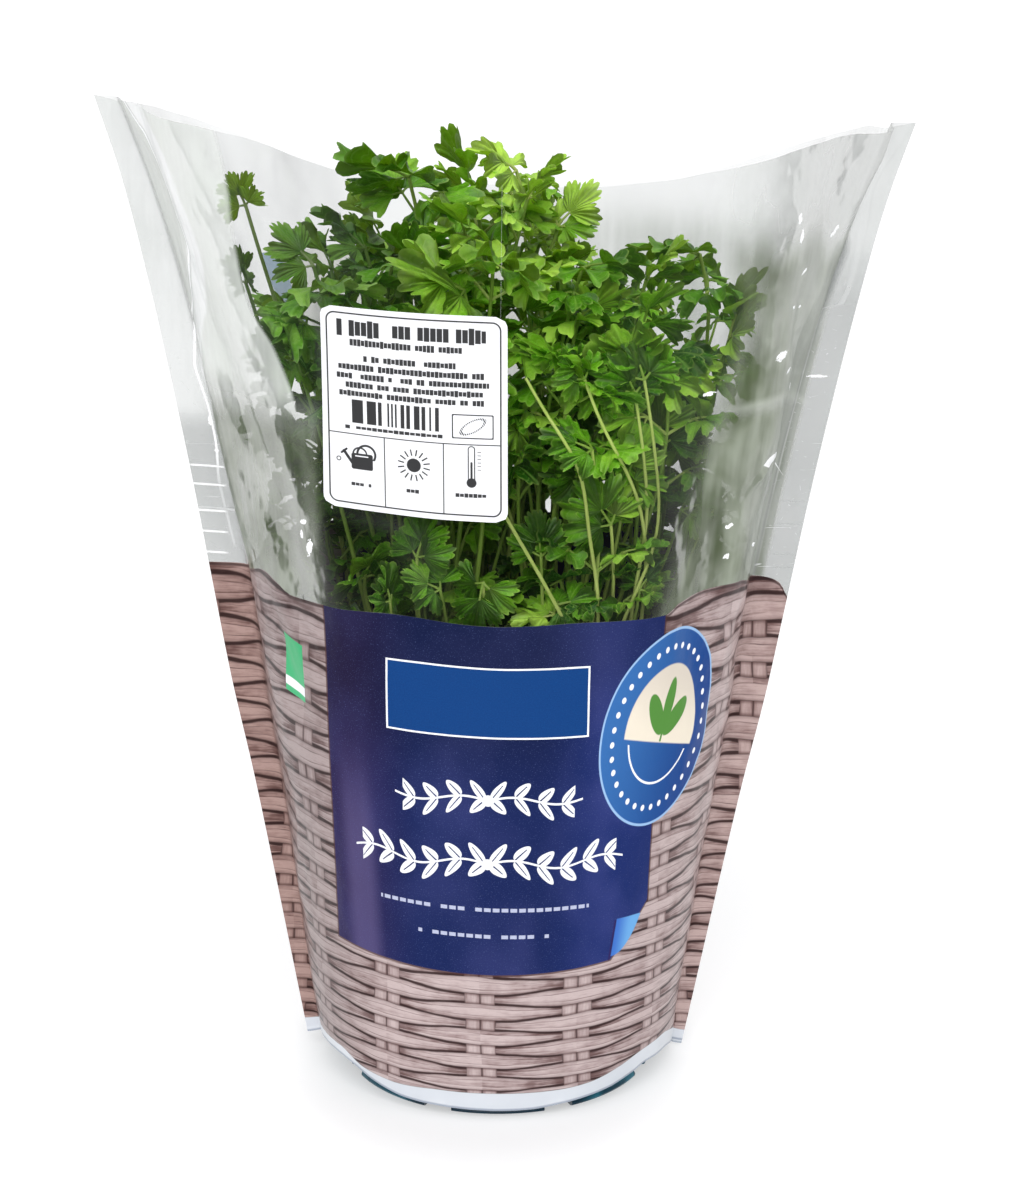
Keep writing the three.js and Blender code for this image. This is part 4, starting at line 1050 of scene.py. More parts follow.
def label_material():
    t = Tree("label")
    x, y = t.uv("label_mm")

    def seg(ax, ay, bx, by):
        dx, dy = bx - ax, by - ay
        k = (((x - ax) * dx + (y - ay) * dy) / (dx * dx + dy * dy)).clamp()
        px, py = x - ax - k * dx, y - ay - k * dy
        return (px * px + py * py).sqrt()

    def disc(cx, cy):
        return ((x - cx) * (x - cx) + (y - cy) * (y - cy)).sqrt()

    def box(cx, cy, hx, hy, r=0.0):
        """Distance outside a rounded box."""
        qx, qy = ((x - cx).abs() - (hx - r)).max(0.0), ((y - cy).abs() - (hy - r)).max(0.0)
        return (qx * qx + qy * qy).sqrt() - r

    def ink(d, half=0.0, soft=0.07):
        """1 where d is under half."""
        return d.step(half + soft, half - soft)

    # frame and dividers
    f = box(0.0, 0.0, 23.5, 26.8, 2.2)
    marks = ink(f.abs(), 0.22)
    inner = f.under(0.0)
    marks = marks.max(inner * ink((y + 6.9).abs(), 0.16))
    marks = marks.max(inner * y.under(-6.9) * ink((x.abs() - 8.1).abs(), 0.16))
    # rows of dashes where text would be
    for cy, x0, x1, h, w, seed in (
        (22.8, -20.8, 19.6, 2.3, 1.7, 1.0), (18.9, -17.2, 15.0, 0.95, 1.05, 2.0),
        (14.6, -13.5, 11.5, 0.84, 1.1, 3.0), (12.0, -20.5, 19.8, 0.84, 1.1, 4.0), (9.5, -21.0, 20.4, 0.84, 1.1, 5.0),
        (7.0, -18.6, 18.8, 0.84, 1.1, 6.0), (4.6, -20.4, 19.0, 0.84, 1.1, 7.0),
        (-5.0, -19.0, 8.0, 0.5, 1.5, 8.0),
        (-21.2, -17.6, -12.0, 0.55, 1.2, 9.0), (-21.2, -2.2, 2.0, 0.55, 1.2, 10.0), (-21.2, 11.2, 19.6, 0.55, 1.2, 11.0),
    ):
        cell = (x - x0) / w
        i = cell.floor()
        fr = cell.fract()
        gap = t.white(t.vec(i, seed, 1.0)).under(0.10)
        tall = t.white(t.vec(i, seed, 2.0)) * 0.35 * h + h * 0.72
        dash = fr.band(0.06, 0.94, 0.04) * ink((y - cy).abs() - tall) * (1.0 - gap) * x.band(x0, x1, 0.01)
        marks = marks.max(dash)
    # a plain block of bars
    bx = (x + 18.0) / 0.52
    bars = t.white(t.vec(bx.floor(), 3.0, 5.0)).under(0.60) * x.band(-17.6, 7.2, 0.03) * y.band(-3.7, 2.9, 0.03)
    marks = marks.max(bars)
    # a small outlined rectangle with a leaf-like curve
    edge_box = ink(box(16.0, -1.9, 5.6, 3.4, 0.3) - 0.0, 0.0) * (1.0 - ink(box(16.0, -1.9, 5.25, 3.05, 0.3), 0.0))
    marks = marks.max(edge_box)
    lx, ly = (x - 16.0) * 0.86 + (y + 1.9) * 0.5, (y + 1.9) * 0.86 - (x - 16.0) * 0.5
    ov = ((lx / 3.6) * (lx / 3.6) + (ly / 1.45) * (ly / 1.45)).sqrt()
    marks = marks.max(ink((ov - 1.0).abs() * 1.6, 0.2) * (lx * 1.9).fract().over(0.34))
    # watering can
    can = ink(box(-14.4, -14.6, 3.0, 2.3, 0.6))
    can = can.max(ink(seg(-17.0, -15.4, -19.4, -12.0), 0.42)).max(ink(seg(-20.1, -12.6, -18.7, -11.4), 0.3))
    can = can.max(ink((disc(-13.2, -12.4) - 2.5).abs(), 0.32) * y.over(-14.0))
    can = can.max(ink((disc(-15.0, -12.6) - 1.9).abs(), 0.24) * y.over(-13.2))
    can = can * (1.0 - ink(seg(-16.2, -13.1, -12.8, -13.1), 0.16))
    can = can.max(ink((disc(-20.9, -14.4) - 0.55).abs(), 0.14))
    marks = marks.max(can)
    # sun
    sx, sy = x - 0.0, y + 13.8
    sr = (sx * sx + sy * sy).sqrt()
    sa = t.math("ARCTAN2", sy, sx)
    ray = (((sa * (16 / (2 * math.pi))).fract() - 0.5).abs() * sr * (2 * math.pi / 16)).under(0.2)
    marks = marks.max(ink(sr, 1.95)).max(ray * sr.band(2.7, 4.5, 0.05))
    # thermometer
    marks = marks.max(ink(box(15.6, -12.6, 0.85, 5.2, 0.8).abs(), 0.16)).max(ink(disc(15.6, -17.6), 1.35)).max(ink(seg(15.6, -17.0, 15.6, -12.0), 0.3))
    marks = marks.max(ink((y * 1.0 + 0.0).fract().abs() - 0.2, 0.0) * x.band(17.2, 18.2, 0.03) * y.band(-14.0, -8.6, 0.03))
    grain = t.noise(t.vec(x * 1.6, y * 1.6), 1.0, 2.0)
    paper = t.mix(grain, rgb(246, 247, 250), rgb(240, 241, 245))
    col = t.mix(marks * 0.96, paper, rgb(12, 12, 15))
    bump = t.bump(grain, 0.1, 0.0002)
    return t.finish(t.shader("ShaderNodeBsdfPrincipled", Base_Color=col, Roughness=0.34, Normal=bump))


label = make_label()
label.data.materials.append(label_material())
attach(label, "root")
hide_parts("label")


# ---------------------------------------------------------------- pot
def lathe(name, profile, steps, close=True, radial=None):
    """A turned solid from (radius, height) pairs; the axis points are shared."""
    verts, faces, rings = [], [], []
    for r, z in profile:
        if r < 1e-6:
            rings.append([len(verts)])
            verts.append((0, 0, z))
        else:
            ring = []
            for k in range(steps):
                a = 2 * math.pi * k / steps
                ring.append(len(verts))
                verts.append((r * math.cos(a), r * math.sin(a), z))
            rings.append(ring)
    pairs = list(zip(rings, rings[1:])) + ([(rings[-1], rings[0])] if close else [])
    for A, B in pairs:
        for k in range(steps):
            k2 = (k + 1) % steps
            if len(A) == 1 and len(B) == 1:
                continue
            if len(A) == 1:
                faces.append((A[0], B[k2], B[k]))
            elif len(B) == 1:
                faces.append((A[k], A[k2], B[0]))
            else:
                faces.append((A[k], A[k2], B[k2], B[k]))
    return make_mesh(name, verts, faces)


def pot_outer(z):
    return POT_FOOT_R + (POT_SHOULDER_R - POT_FOOT_R) * z / (POT_HEIGHT - POT_RIM_H)


def make_pot():
    prof = [(0, 0), (36, 0), (45.6, 0), (46.8, 0.12), (47.7, 0.5), (47.95, 1.1), (47.7, 1.9), (47.3, 2.4)]
    prof += [(pot_outer(z), z) for z in (3, 6, 12, 24, 40, 56, 72, 84, 90)]
    prof += [(58.4, 91.8), (58.9, 92.4), (59.6, 92.8), (60, 93.5), (60, 103.9), (59.8, 104.6), (59.3, 105), (58.8, 105), (58.45, 104.5)]
    prof += [(57.4, 95), (57.1, 91.4)] + [(pot_outer(z) - POT_WALL, z) for z in (84, 60, 36, 14, 5)]
    prof += [(pot_outer(3.0) - POT_WALL - 0.3, 2.6), (pot_outer(1.8) - POT_WALL - 1.2, 1.8), (30, 1.8), (0, 1.8)]
    pot = lathe("pot", prof, 144, close=False)
    cut_v, cut_f = [], []
    for i in range(DRAIN_SLOTS):
        a = math.radians((i + 0.5) * 360 / DRAIN_SLOTS)
        c, q = math.cos(a), math.sin(a)
        k = len(cut_v)
        for rx in (DRAIN_INNER_R, DRAIN_INNER_R + 16):
            for ty in (-DRAIN_W / 2, DRAIN_W / 2):
                for z in (-1.0, DRAIN_H):
                    cut_v.append((rx * c - ty * q, rx * q + ty * c, z))
        cut_f += [tuple(k + j for j in f) for f in ((0, 1, 3, 2), (4, 6, 7, 5), (0, 4, 5, 1), (2, 3, 7, 6), (0, 2, 6, 4), (1, 5, 7, 3))]
    cutter = make_mesh("cutter", cut_v, cut_f, smooth=False)
    m = pot.modifiers.new("slots", "BOOLEAN")
    m.operation = "DIFFERENCE"
    m.solver = "EXACT"
    m.object = cutter
    bpy.context.view_layer.update()
    done = bpy.data.meshes.new_from_object(pot.evaluated_get(bpy.context.evaluated_depsgraph_get()))
    pot.modifiers.remove(m)
    pot.data = done
    bpy.data.objects.remove(cutter)
    done.polygons.foreach_set("use_smooth", np.ones(len(done.polygons), bool))
    done.set_sharp_from_angle(angle=math.radians(38))
    done.materials.clear()
    return pot


pot = make_pot()
t = Tree("pot")
px, py, pz = t.place()
v = t.vec(px * 1000.0, py * 1000.0, pz * 1000.0)
n = t.noise(v, 0.12, 3.0)
n2 = t.noise(t.vec(px * 1000.0, py * 1000.0, pz * 90.0), 0.9, 2.0)
col = t.mix(n, rgb(24, 112, 134), rgb(38, 140, 160))
col = t.mix((n2 - 0.45).max(0.0) * 0.8, col, rgb(16, 86, 106))
shade_notches = t.noise(t.vec(px * 1000.0, py * 1000.0, pz * 300.0), 0.11, 2.0)
# painted shadow: the foot is dark near the floor, where it lies in shadow under the hem, most near the middle and to
# the left, with notches
col = t.mix((pz * 1000.0).step(3.4, 1.6) * (0.30 + shade_notches.step(0.40, 0.58) * 0.5).max((px * 1000.0).abs().step(34.0, 24.0) * 0.9).max((px * 1000.0).step(-20.0, -34.0) * 0.62), col, rgb(8, 24, 46))
pot.data.materials.append(t.finish(t.shader("ShaderNodeBsdfPrincipled", Base_Color=col, Roughness=0.38, Normal=t.bump(n2, 0.15, 0.0006))))
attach(pot, "root")
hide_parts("pot")


# ---------------------------------------------------------------- peat
def make_peat():
    steps = 192
    inner = lambda z: pot_outer(z) - POT_WALL - GAP
    gp, gq = Grain(31), Grain(32)
    prof = [(0.0, 2.15), (20.0, 2.15), (inner(1.8) - 1.5, 2.15), (inner(5) - 0.1, 5.0)]
    prof += [(inner(z) - 0.05, z) for z in (20, 40, 60, 80)]
    prof += [(inner(86.6), 86.6), (inner(86.6) - 0.9, 89.6), (inner(86.6) - 2.2, 91.6)]
    top_r = np.concatenate([np.linspace(52.0, 3.0, 46)])
    prof += [(r, SOIL_TOP + (SOIL_CROWN - SOIL_TOP) * (1 - sm(r, 22, 44))) for r in top_r]
    rows, a = len(prof), np.arange(steps) / steps * 2 * math.pi
    R = np.array([p[0] for p in prof])[:, None]
    Z = np.array([p[1] for p in prof])[:, None] + 0 * a
    X, Y = R * np.cos(a), R * np.sin(a)
    lumps = 1.0 * gp(X / 5.2, Y / 5.2) + 0.6 * gq(X / 2.3 + 5, Y / 2.3) + 0.35 * gp(X / 1.15 + 9, Y / 1.15)
    on_top = sm(Z, 88.5, 92.0)
    Z = Z + on_top * (lumps * 0.75 - 0.62) * sm(R, 2.0, 5.0)
    P = np.stack([X, Y, Z], -1).reshape(-1, 3)
    faces = []
    for i in range(rows - 1):
        for k in range(steps):
            k2 = (k + 1) % steps
            A, B, C, D = i * steps + k, i * steps + k2, (i + 1) * steps + k2, (i + 1) * steps + k
            if R[i, 0] < 1e-6:
                continue
            faces.append((A, B, C, D))
    centre = len(P)
    P = np.vstack([P, [0, 0, 2.15], [0, 0, 92.3]])
    for k in range(steps):
        k2 = (k + 1) % steps
        faces.append((centre, steps + k2, steps + k))
        faces.append(((rows - 1) * steps + k, (rows - 1) * steps + k2, centre + 1))
    return make_mesh("root_ball", P, faces)


peat = make_peat()
t = Tree("peat")
px, py, pz = t.place()
v = t.vec(px * 1000.0, py * 1000.0, pz * 1000.0)
crumb = t.cells(v, 0.55, "Distance")
n = t.noise(v, 0.7, 4.0, 0.7)
col = t.mix(n, rgb(24, 16, 11), rgb(74, 52, 36))
col = t.mix(crumb.step(0.55, 0.85) * 0.6, col, rgb(14, 9, 6))
fib = t.noise(t.vec(px * 420.0, py * 2600.0, pz * 800.0), 1.0, 2.0, 0.6).step(0.66, 0.72)
col = t.mix(fib * 0.6, col, rgb(128, 96, 62))
peat.data.materials.append(t.finish(t.shader("ShaderNodeBsdfPrincipled", Base_Color=col, Roughness=0.92, Normal=t.bump(n - crumb * 0.5, 0.8, 0.0012))))
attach(peat, "root")
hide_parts("root_ball")


# ---------------------------------------------------------------- plants
# How far from the sleeve's axis the plants may reach, by angle and height.
ANGLES = np.linspace(-math.pi, math.pi, 361)


def reach_table():
    table = np.zeros((len(SECTION_Z), len(ANGLES)))
    for j in range(len(SECTION_Z)):
        line = SECTIONS[j]
        ang = np.arctan2(line[:, 1], line[:, 0])[::-1]
        rad = np.hypot(line[:, 0], line[:, 1])[::-1]
        order = np.argsort(ang)
        table[j] = np.interp(np.abs(ANGLES), ang[order], rad[order])
    return table


REACH = reach_table()


def keep_inside(P):
    """Points pressed back to just inside the film."""
    x = P[..., 0] - LEAN[0] - LEAN[1] * P[..., 2] / SLEEVE_H
    y = P[..., 1]
    z = P[..., 2] + ROW_TILT * x
    a = np.arctan2(y, x)
    zi = np.clip(z, 0, 297.9)
    j = zi.astype(int)
    f = zi - j
    k = (a + math.pi) / (2 * math.pi) * 360
    ki = np.clip(k.astype(int), 0, 359)
    g = k - ki
    r_max = (REACH[j, ki] * (1 - g) + REACH[j, ki + 1] * g) * (1 - f) + (REACH[j + 1, ki] * (1 - g) + REACH[j + 1, ki + 1] * g) * f
    # near the seams the section is a thin wedge
    thin = 1.8 + 5.0 * np.exp(-((np.abs(np.sin(a)) / 0.12) ** 2))
    limit = r_max - thin
    r = np.hypot(x, y)
    soft = limit - 3.0
    over = np.clip(r - soft, 0, None)
    new_r = np.where(r > soft, soft + 3.0 * (1 - np.exp(-over / 3.0)), r)
    scale = np.where(r > 1e-6, new_r / np.maximum(r, 1e-6), 1)
    Q = P.copy()
    Q[..., 0] = x * scale + LEAN[0] + LEAN[1] * P[..., 2] / SLEEVE_H
    Q[..., 1] = y * scale
    return Q


def unit(v):
    v = np.asarray(v, float)
    return v / (np.linalg.norm(v) + 1e-12)


def turned(v, axis, angle):
    """v turned about a unit axis, in radians."""
    return v * math.cos(angle) + np.cross(axis, v) * math.sin(angle) + axis * np.dot(axis, v) * (1 - math.cos(angle))


class Parts:
    """Gathers grids of points into one mesh."""

    def __init__(self):
        self.v, self.f, self.uv, self.tone, self.kind, self.level, self.n = [], [], [], [], [], [], 0

    def grid(self, P, U, W, tone, kind):
        rows, cols = P.shape[:2]
        self.v.append(P.reshape(-1, 3))
        self.f.append(grid_faces(cols - 1, rows - 1, self.n))
        self.uv.append(np.stack([np.broadcast_to(U, (rows, cols)), np.broadcast_to(W, (rows, cols))], -1).reshape(-1, 2))
        self.tone.append(np.full(rows * cols, tone))
        self.kind.append(np.full(rows * cols, kind))
        across = np.cross(np.gradient(P, axis=0), np.gradient(P, axis=1))
        self.level.append((np.abs(across[..., 2]) / (np.linalg.norm(across, axis=-1) + 1e-12)).reshape(-1))
        self.n += rows * cols

    def mesh(self, name):
        P = keep_inside(np.vstack(self.v))
        faces = [tuple(f) for f in np.vstack(self.f).tolist()]
        return make_mesh(name, P, faces, uvs={"leaf": np.vstack(self.uv)},
                         attributes={"tone": np.concatenate(self.tone), "kind": np.concatenate(self.kind),
                                     "level": np.concatenate(self.level)})


def tube(b, pts, radii, sides, tone):
    pts = np.asarray(pts, float)
    tan = np.gradient(pts, axis=0)
    tan /= np.linalg.norm(tan, axis=1, keepdims=True) + 1e-12
    ref = np.eye(3)[np.argmin(np.abs(tan.mean(0)))]
    p = np.cross(tan, ref)
    p /= np.linalg.norm(p, axis=1, keepdims=True) + 1e-12
    q = np.cross(tan, p)
    a = np.linspace(0, 2 * math.pi, sides + 1)
    R = np.asarray(radii, float)[:, None]
    P = pts[:, None] + (p[:, None] * np.cos(a)[None, :, None] + q[:, None] * np.sin(a)[None, :, None]) * R[..., None]
    run = np.concatenate([[0], np.cumsum(np.linalg.norm(np.diff(pts, axis=0), axis=1))])
    b.grid(P, np.linspace(0, 1, sides + 1)[None], run[:, None] / 40.0, tone, 1.0)


def bezier(p0, p1, p2, p3, n):
    t = np.linspace(0, 1, n)[:, None]
    return (1 - t) ** 3 * p0 + 3 * (1 - t) ** 2 * t * p1 + 3 * (1 - t) * t * t * p2 + t**3 * p3


def leaflet(b, base, d, s, L, rng, big=True, droop=0.3, tone=0.5):
    """One wedge-shaped leaflet with three lobes and a toothed, ruffled edge."""
    n = unit(np.cross(d, s))
    teeth, cols, rings = (15, 4, 6) if big else (12, 3, 4)
    per = teeth // 3
    phi_max = math.radians(rng.uniform(72, 94))
    c = np.arange(teeth * cols + 1) / cols
    phi = (c / teeth * 2 - 1) * phi_max
    k = np.minimum((c / per).astype(int), 2)
    local = c / per - k
    mid_k = (k + 0.5) * per / teeth * 2 - 1
    dphi = phi - mid_k * phi_max
    top = np.array([rng.uniform(0.84, 0.98), 1.0, rng.uniform(0.84, 0.98)])
    depth = rng.uniform(0.16, 0.30)

    def lobe(kk, loc):
        return top[kk] * (1 - depth * np.abs(2 * loc - 1) ** 2.0)

    R = lobe(k, local)
    R *= 1 - 0.22 * np.clip((np.abs(phi) / phi_max - 0.72) / 0.28, 0, 1) ** 2
    for q in (1, 2):
        R[q * per * cols] = min(lobe(q - 1, 1.0), lobe(q, 0.0)) * 0.86
    notch = 1 - np.abs(np.sin(math.pi * c)) ** 0.8
    R *= 1 - (0.13 if big else 0.15) * notch
    R *= 1 + 0.03 * np.interp(c, np.arange(teeth + 1), rng.normal(0, 1, teeth + 1)) * (1 - notch * 0.3)
    rho = np.linspace(0, 1, rings + 1) ** 0.85
    rho = 0.045 + 0.955 * rho
    RR = rho[:, None] * R[None] * L
    X, Y = RR * np.cos(phi * 0.97), RR * np.sin(phi * 0.97)
    r1 = rho[:, None]
    Z = 0.22 * RR * np.abs(dphi)[None] * np.sqrt(r1)
    Z = Z - droop * L * (X / L) ** 2 * 0.50 - droop * L * (Y / L) ** 2 * 0.75
    waves, ph = rng.uniform(2.8, 5.2), rng.uniform(0, 6.28)
    Z = Z + L * 0.075 * r1**1.3 * np.abs(np.sin(math.pi * c))[None]
    Z = Z + L * rng.uniform(0.09, 0.18) * r1**2.2 * np.sin(waves * (phi / phi_max)[None] * math.pi + ph)
    Z = Z + L * 0.026 * r1**4 * np.cos(2 * math.pi * c)[None] + L * 0.03 * r1**2 * np.sin(9 * r1 + 5 * (phi)[None] + ph)
    twist = rng.uniform(-0.35, 0.35) * X / L
    Y, Z = Y * np.cos(twist) - Z * np.sin(twist), Y * np.sin(twist) + Z * np.cos(twist)
    P = base + X[..., None] * d + Y[..., None] * s + Z[..., None] * n
    b.grid(P, (c / per)[None], r1, tone, 0.0)


def head(b, fork, d, s, L, rng, reach, big, tone, droop):
    """Three leaflets on short stalks that leave one fork."""
    n = unit(np.cross(d, s))
    for ang in (-SIDE_ANGLE, 0.0, SIDE_ANGLE):
        a = math.radians(ang + rng.uniform(-7, 7))
        dd = unit(d * math.cos(a) + s * math.sin(a))
        ss = unit(s * math.cos(a) - d * math.sin(a))
        # each leaflet tips and rolls a little by itself
        tip = rng.uniform(-0.30, 0.14) - (0.16 if ang else 0.0)
        dd = turned(dd, ss, -tip)
        roll = rng.uniform(-0.32, 0.32) + math.copysign(0.16, ang) * (1 if ang else 0)
        ss = turned(ss, dd, roll)
        size = L * (1.0 if ang == 0 else rng.uniform(0.82, 0.95))
        start = reach * L if ang == 0 else (0.16 + rng.uniform(0, 0.06)) * L
        base = fork + dd * start
        tube(b, [fork - dd * 0.2, fork + dd * start * 0.5 + n * 0.25, base + dd * 0.05 * size], [0.5, 0.36, 0.3], 5, tone)
        leaflet(b, base, dd, ss, size, rng, big, droop + rng.uniform(-0.12, 0.18), float(np.clip(tone + rng.normal(0, 0.12), 0, 1)))


# Long stalks right behind the front film, from the soil upwards, by plant; then
# whether a small leaf ends the stalk.
STALKS = {
    4: [([[30.5, -30, 95], [28, -47, 124], [21.9, -59.5, 152.8], [12, -62.9, 172.6], [2.9, -64.7, 188.8], [-6, -64, 206]], False),
        ([[31, -29, 95], [39, -43, 130], [42.5, -50.8, 173.7], [40.1, -54, 191.8], [33.4, -58.1, 205.8], [28.3, -60.4, 214.4], [24, -59, 227]], True),
        ([[32, -29, 95], [35.5, -44, 130], [38.9, -50.9, 165.5], [42.6, -51.2, 186.2], [40.4, -54.4, 207.5], [38, -54, 222]], True)],
    3: [([[14, -31, 95], [23, -47, 125], [28.8, -56, 152], [28.5, -57.8, 169.8], [25.3, -59.6, 182], [24.6, -61.2, 198.4], [21.8, -62.5, 206.8], [14.1, -64.5, 216.7], [8, -63, 228]], False)],
    1: [([[22, -35, 95], [29, -48, 130], [33.4, -54.4, 151.3], [38.3, -53.4, 162.7], [45.2, -50.9, 177.7], [46.1, -52.2, 190.2], [43.4, -55.7, 208.9], [40.5, -55, 226]], True)],
    11: [([[41, -9, 95], [46, -30, 130], [54.7, -44.1, 171.8], [59.8, -41.6, 182.9], [64.5, -38.1, 189], [69.4, -32.7, 190.6], [74.8, -25, 190.6]], True)],
}
# Loose leaves low in front: fork, turn in the picture's plane, leaflet length, tone.
LOOSE = {
    4: [(31.7, -57, 185.6, 120, 12.5, 0.42), (40.3, -52.1, 165.3, 60, 10, 0.3)],
    3: [(12.3, -60, 177.3, 100, 12, 0.4), (16.5, -59, 162.7, 20, 11, 0.36), (26.2, -60, 207.4, 140, 11, 0.42)],
    2: [(-3.7, -61, 169.9, 255, 13, 0.4), (-15.7, -60, 167.7, 150, 11, 0.26)],
    0: [(-22.1, -58.5, 176.6, 80, 12, 0.28), (-30, -56, 163, 110, 11, 0.24)],
    1: [(36.0, -50.0, 196.0, 70, 12, 0.5), (52.0, -43.0, 186.0, 30, 12, 0.42), (24.0, -44.0, 196.0, 100, 12, 0.3)],
    11: [(47.0, -38.0, 204.0, 100, 12, 0.4), (56.0, -30.0, 178.0, 60, 11, 0.3), (50.0, -20.0, 196.0, 80, 13, 0.25)],
}


def smooth_line(pts, n):
    """A smooth line of n points through the given ones."""
    pts = np.asarray(pts, float)
    run = np.concatenate([[0], np.cumsum(np.linalg.norm(np.diff(pts, axis=0), axis=1))])
    at = np.linspace(0, run[-1], n)
    line = np.stack([np.interp(at, run, pts[:, k]) for k in range(3)], 1)
    for _ in range(10):
        line[1:-1] = (line[:-2] + 2 * line[1:-1] + line[2:]) / 4
    return line


def make_seedling(name, crown_xy, leaves, index):
    rng = np.random.default_rng(900 + index)
    b = Parts()
    crown = np.array([*crown_xy, SOIL_START])
    # the crown, where the stalks sheathe each other
    tube(b, [crown + [0, 0, h - 0.3] for h in (0, 0.8, 2.0, 3.4, CROWN_H, CROWN_H + 0.6)], [2.7, 2.6, 2.35, 1.95, 1.4, 0.4], 12, 0.35)

    def stalk(fork, direction, bow, r0, r1, steps):
        away = fork[:2] - crown[:2]
        away = away / (np.linalg.norm(away) + 1e-9)
        B = np.array([crown[0] + 1.6 * away[0], crown[1] + 1.6 * away[1], SOIL_START + 1.6])
        h = fork[2] - 93.3
        P1 = np.array([B[0] + bow[0], B[1] + bow[1], B[2] + 0.42 * h])
        P2 = fork - 0.36 * h * direction
        line = bezier(B, P1, P2, fork + 0.3 * direction, steps)
        share = np.linspace(0, 1, steps)
        tube(b, line, r0 * (1 - share) + r1 * share + 0.9 * np.exp(-share * 16), 8, 0.5 + 0.14 * rng.normal())
        return line

    for row in leaves:
        fork = np.array(row[:3], float)
        h, p, r, L, bx, by = row[3:]
        h, p, r = map(math.radians, (h, p, r))
        d = np.array([math.cos(h) * math.cos(p), math.sin(h) * math.cos(p), math.sin(p)])
        s0 = np.array([-math.sin(h), math.cos(h), 0])
        n0 = np.cross(d, s0)
        s = s0 * math.cos(r) + n0 * math.sin(r)
        e = unit([0.3 * math.cos(h), 0.3 * math.sin(h), 1])
        # the tone is random per leaf, with a painted light that makes leaves higher up lighter
        tone = float(np.clip(0.28 + 0.36 * (fork[2] - 140) / 130 + rng.normal(0, 0.20), 0.0, 1))
        line = stalk(fork, e, (bx, by), 0.82, 0.52, 26)
        bare = (index == 12 and fork[2] > 230) or (index == 8 and fork[2] > 250 and fork[0] < -50)
        head(b, fork, d, s, L * (0.8 if bare else 1.13), rng, TERMINAL_REACH, True, tone, rng.uniform(0.25, 0.6))
        # lower pairs of the compound leaf
        run = np.concatenate([[0], np.cumsum(np.linalg.norm(np.diff(line, axis=0), axis=1))])
        total = run[-1]
        levels = [rng.uniform(11, 16)]
        if total > 70 and rng.random() < 0.72:
            levels.append(levels[0] + rng.uniform(15, 22))
        if bare:
            levels = []  # small leaves on bare stalks at the left edge
        for li, below in enumerate(levels):
            at = np.array([np.interp(total - below, run, line[:, k]) for k in range(3)])
            at2 = np.array([np.interp(total - below + 1.5, run, line[:, k]) for k in range(3)])
            axis = unit(at2 - at)
            side = unit(s - axis * np.dot(s, axis))
            for sign in (-1, 1):
                out = unit(axis * rng.uniform(0.45, 0.75) + side * sign + np.cross(axis, side) * rng.uniform(-0.45, 0.45))
                length = rng.uniform(7.5, 12.0) * (1.0 + 0.25 * li)
                end = at + out * length + np.array([0, 0, 0.12 * length])
                mid = at + out * length * 0.5 + axis * 0.6
                tube(b, [at, at * 0.4 + mid * 0.6, mid * 0.5 + end * 0.5, end], [0.5, 0.44, 0.4, 0.36], 5, tone)
                dd = unit(out * np.array([1, 1, rng.uniform(0.1, 0.9)]))
                ss = unit(np.cross([0, 0, 1], dd))
                nn = np.cross(dd, ss)
                ro = rng.uniform(-0.5, 0.5)
                ss = ss * math.cos(ro) + nn * math.sin(ro)
                head(b, end, dd, ss, L * rng.uniform(0.78, 1.0), rng, 0.30, False, float(np.clip(tone + rng.normal(0, 0.12), 0, 1)), rng.uniform(0.3, 0.7))

    # young leaves between the grown ones
    for y in range(4):
        a = rng.uniform(0, 2 * math.pi)
        reach = rng.uniform(5, 22)
        z = (rng.uniform(122, 150), rng.uniform(150, 180), rng.uniform(175, 210), rng.uniform(195, 238))[y]
        fork = np.array([crown[0] + reach * math.cos(a), crown[1] + reach * math.sin(a) * 0.9, z])
        e = unit([0.4 * math.cos(a), 0.4 * math.sin(a), 1])
        stalk(fork, e, (rng.uniform(-4, 4), rng.uniform(-4, 4)), 0.66, 0.42, 18)
        p = rng.uniform(0.0, 1.0)
        d = np.array([math.cos(a) * math.cos(p), math.sin(a) * math.cos(p), math.sin(p)])
        s = np.array([-math.sin(a), math.cos(a), 0])
        head(b, fork, d, s, rng.uniform(8.0, 11.5), rng, 0.35, False, float(np.clip(0.34 + rng.normal(0, 0.12), 0, 1)), rng.uniform(0.3, 0.6))

    towards = unit([0.0, -0.86, 0.5])  # where the leaves in front turn their faces
    for pts, ends in STALKS.get(index, ()):
        line = smooth_line(pts, 44)
        share = np.linspace(0, 1, 44)
        tube(b, line, 0.72 - 0.28 * share, 8, 0.7)
        if ends:
            a = rng.uniform(0.9, 2.2)
            d = unit([math.cos(a), -0.2, math.sin(a)])
            head(b, line[-1], d, unit(np.cross(towards, d)), rng.uniform(9.0, 11.0), rng, 0.35, False, 0.5, rng.uniform(0.3, 0.6))
    for x, y, z, turn, L, tone in LOOSE.get(index, ()):
        fork = np.array([x, y, z], float)
        a = math.radians(turn)
        d = unit([math.cos(a), rng.uniform(-0.35, 0.1), math.sin(a)])
        stalk(fork, unit([0.2 * math.cos(a), -0.25, 1.0]), (rng.uniform(-3, 3), rng.uniform(-3, 0)), 0.72, 0.46, 22)
        faces = unit([rng.uniform(-0.45, 0.45), -0.8, rng.uniform(0.3, 1.2)])
        head(b, fork, d, unit(np.cross(faces, d)), L * (0.84 if z < 182 else 1.0), rng, TERMINAL_REACH, True, tone, rng.uniform(0.4, 0.8))
    return b.mesh(name)


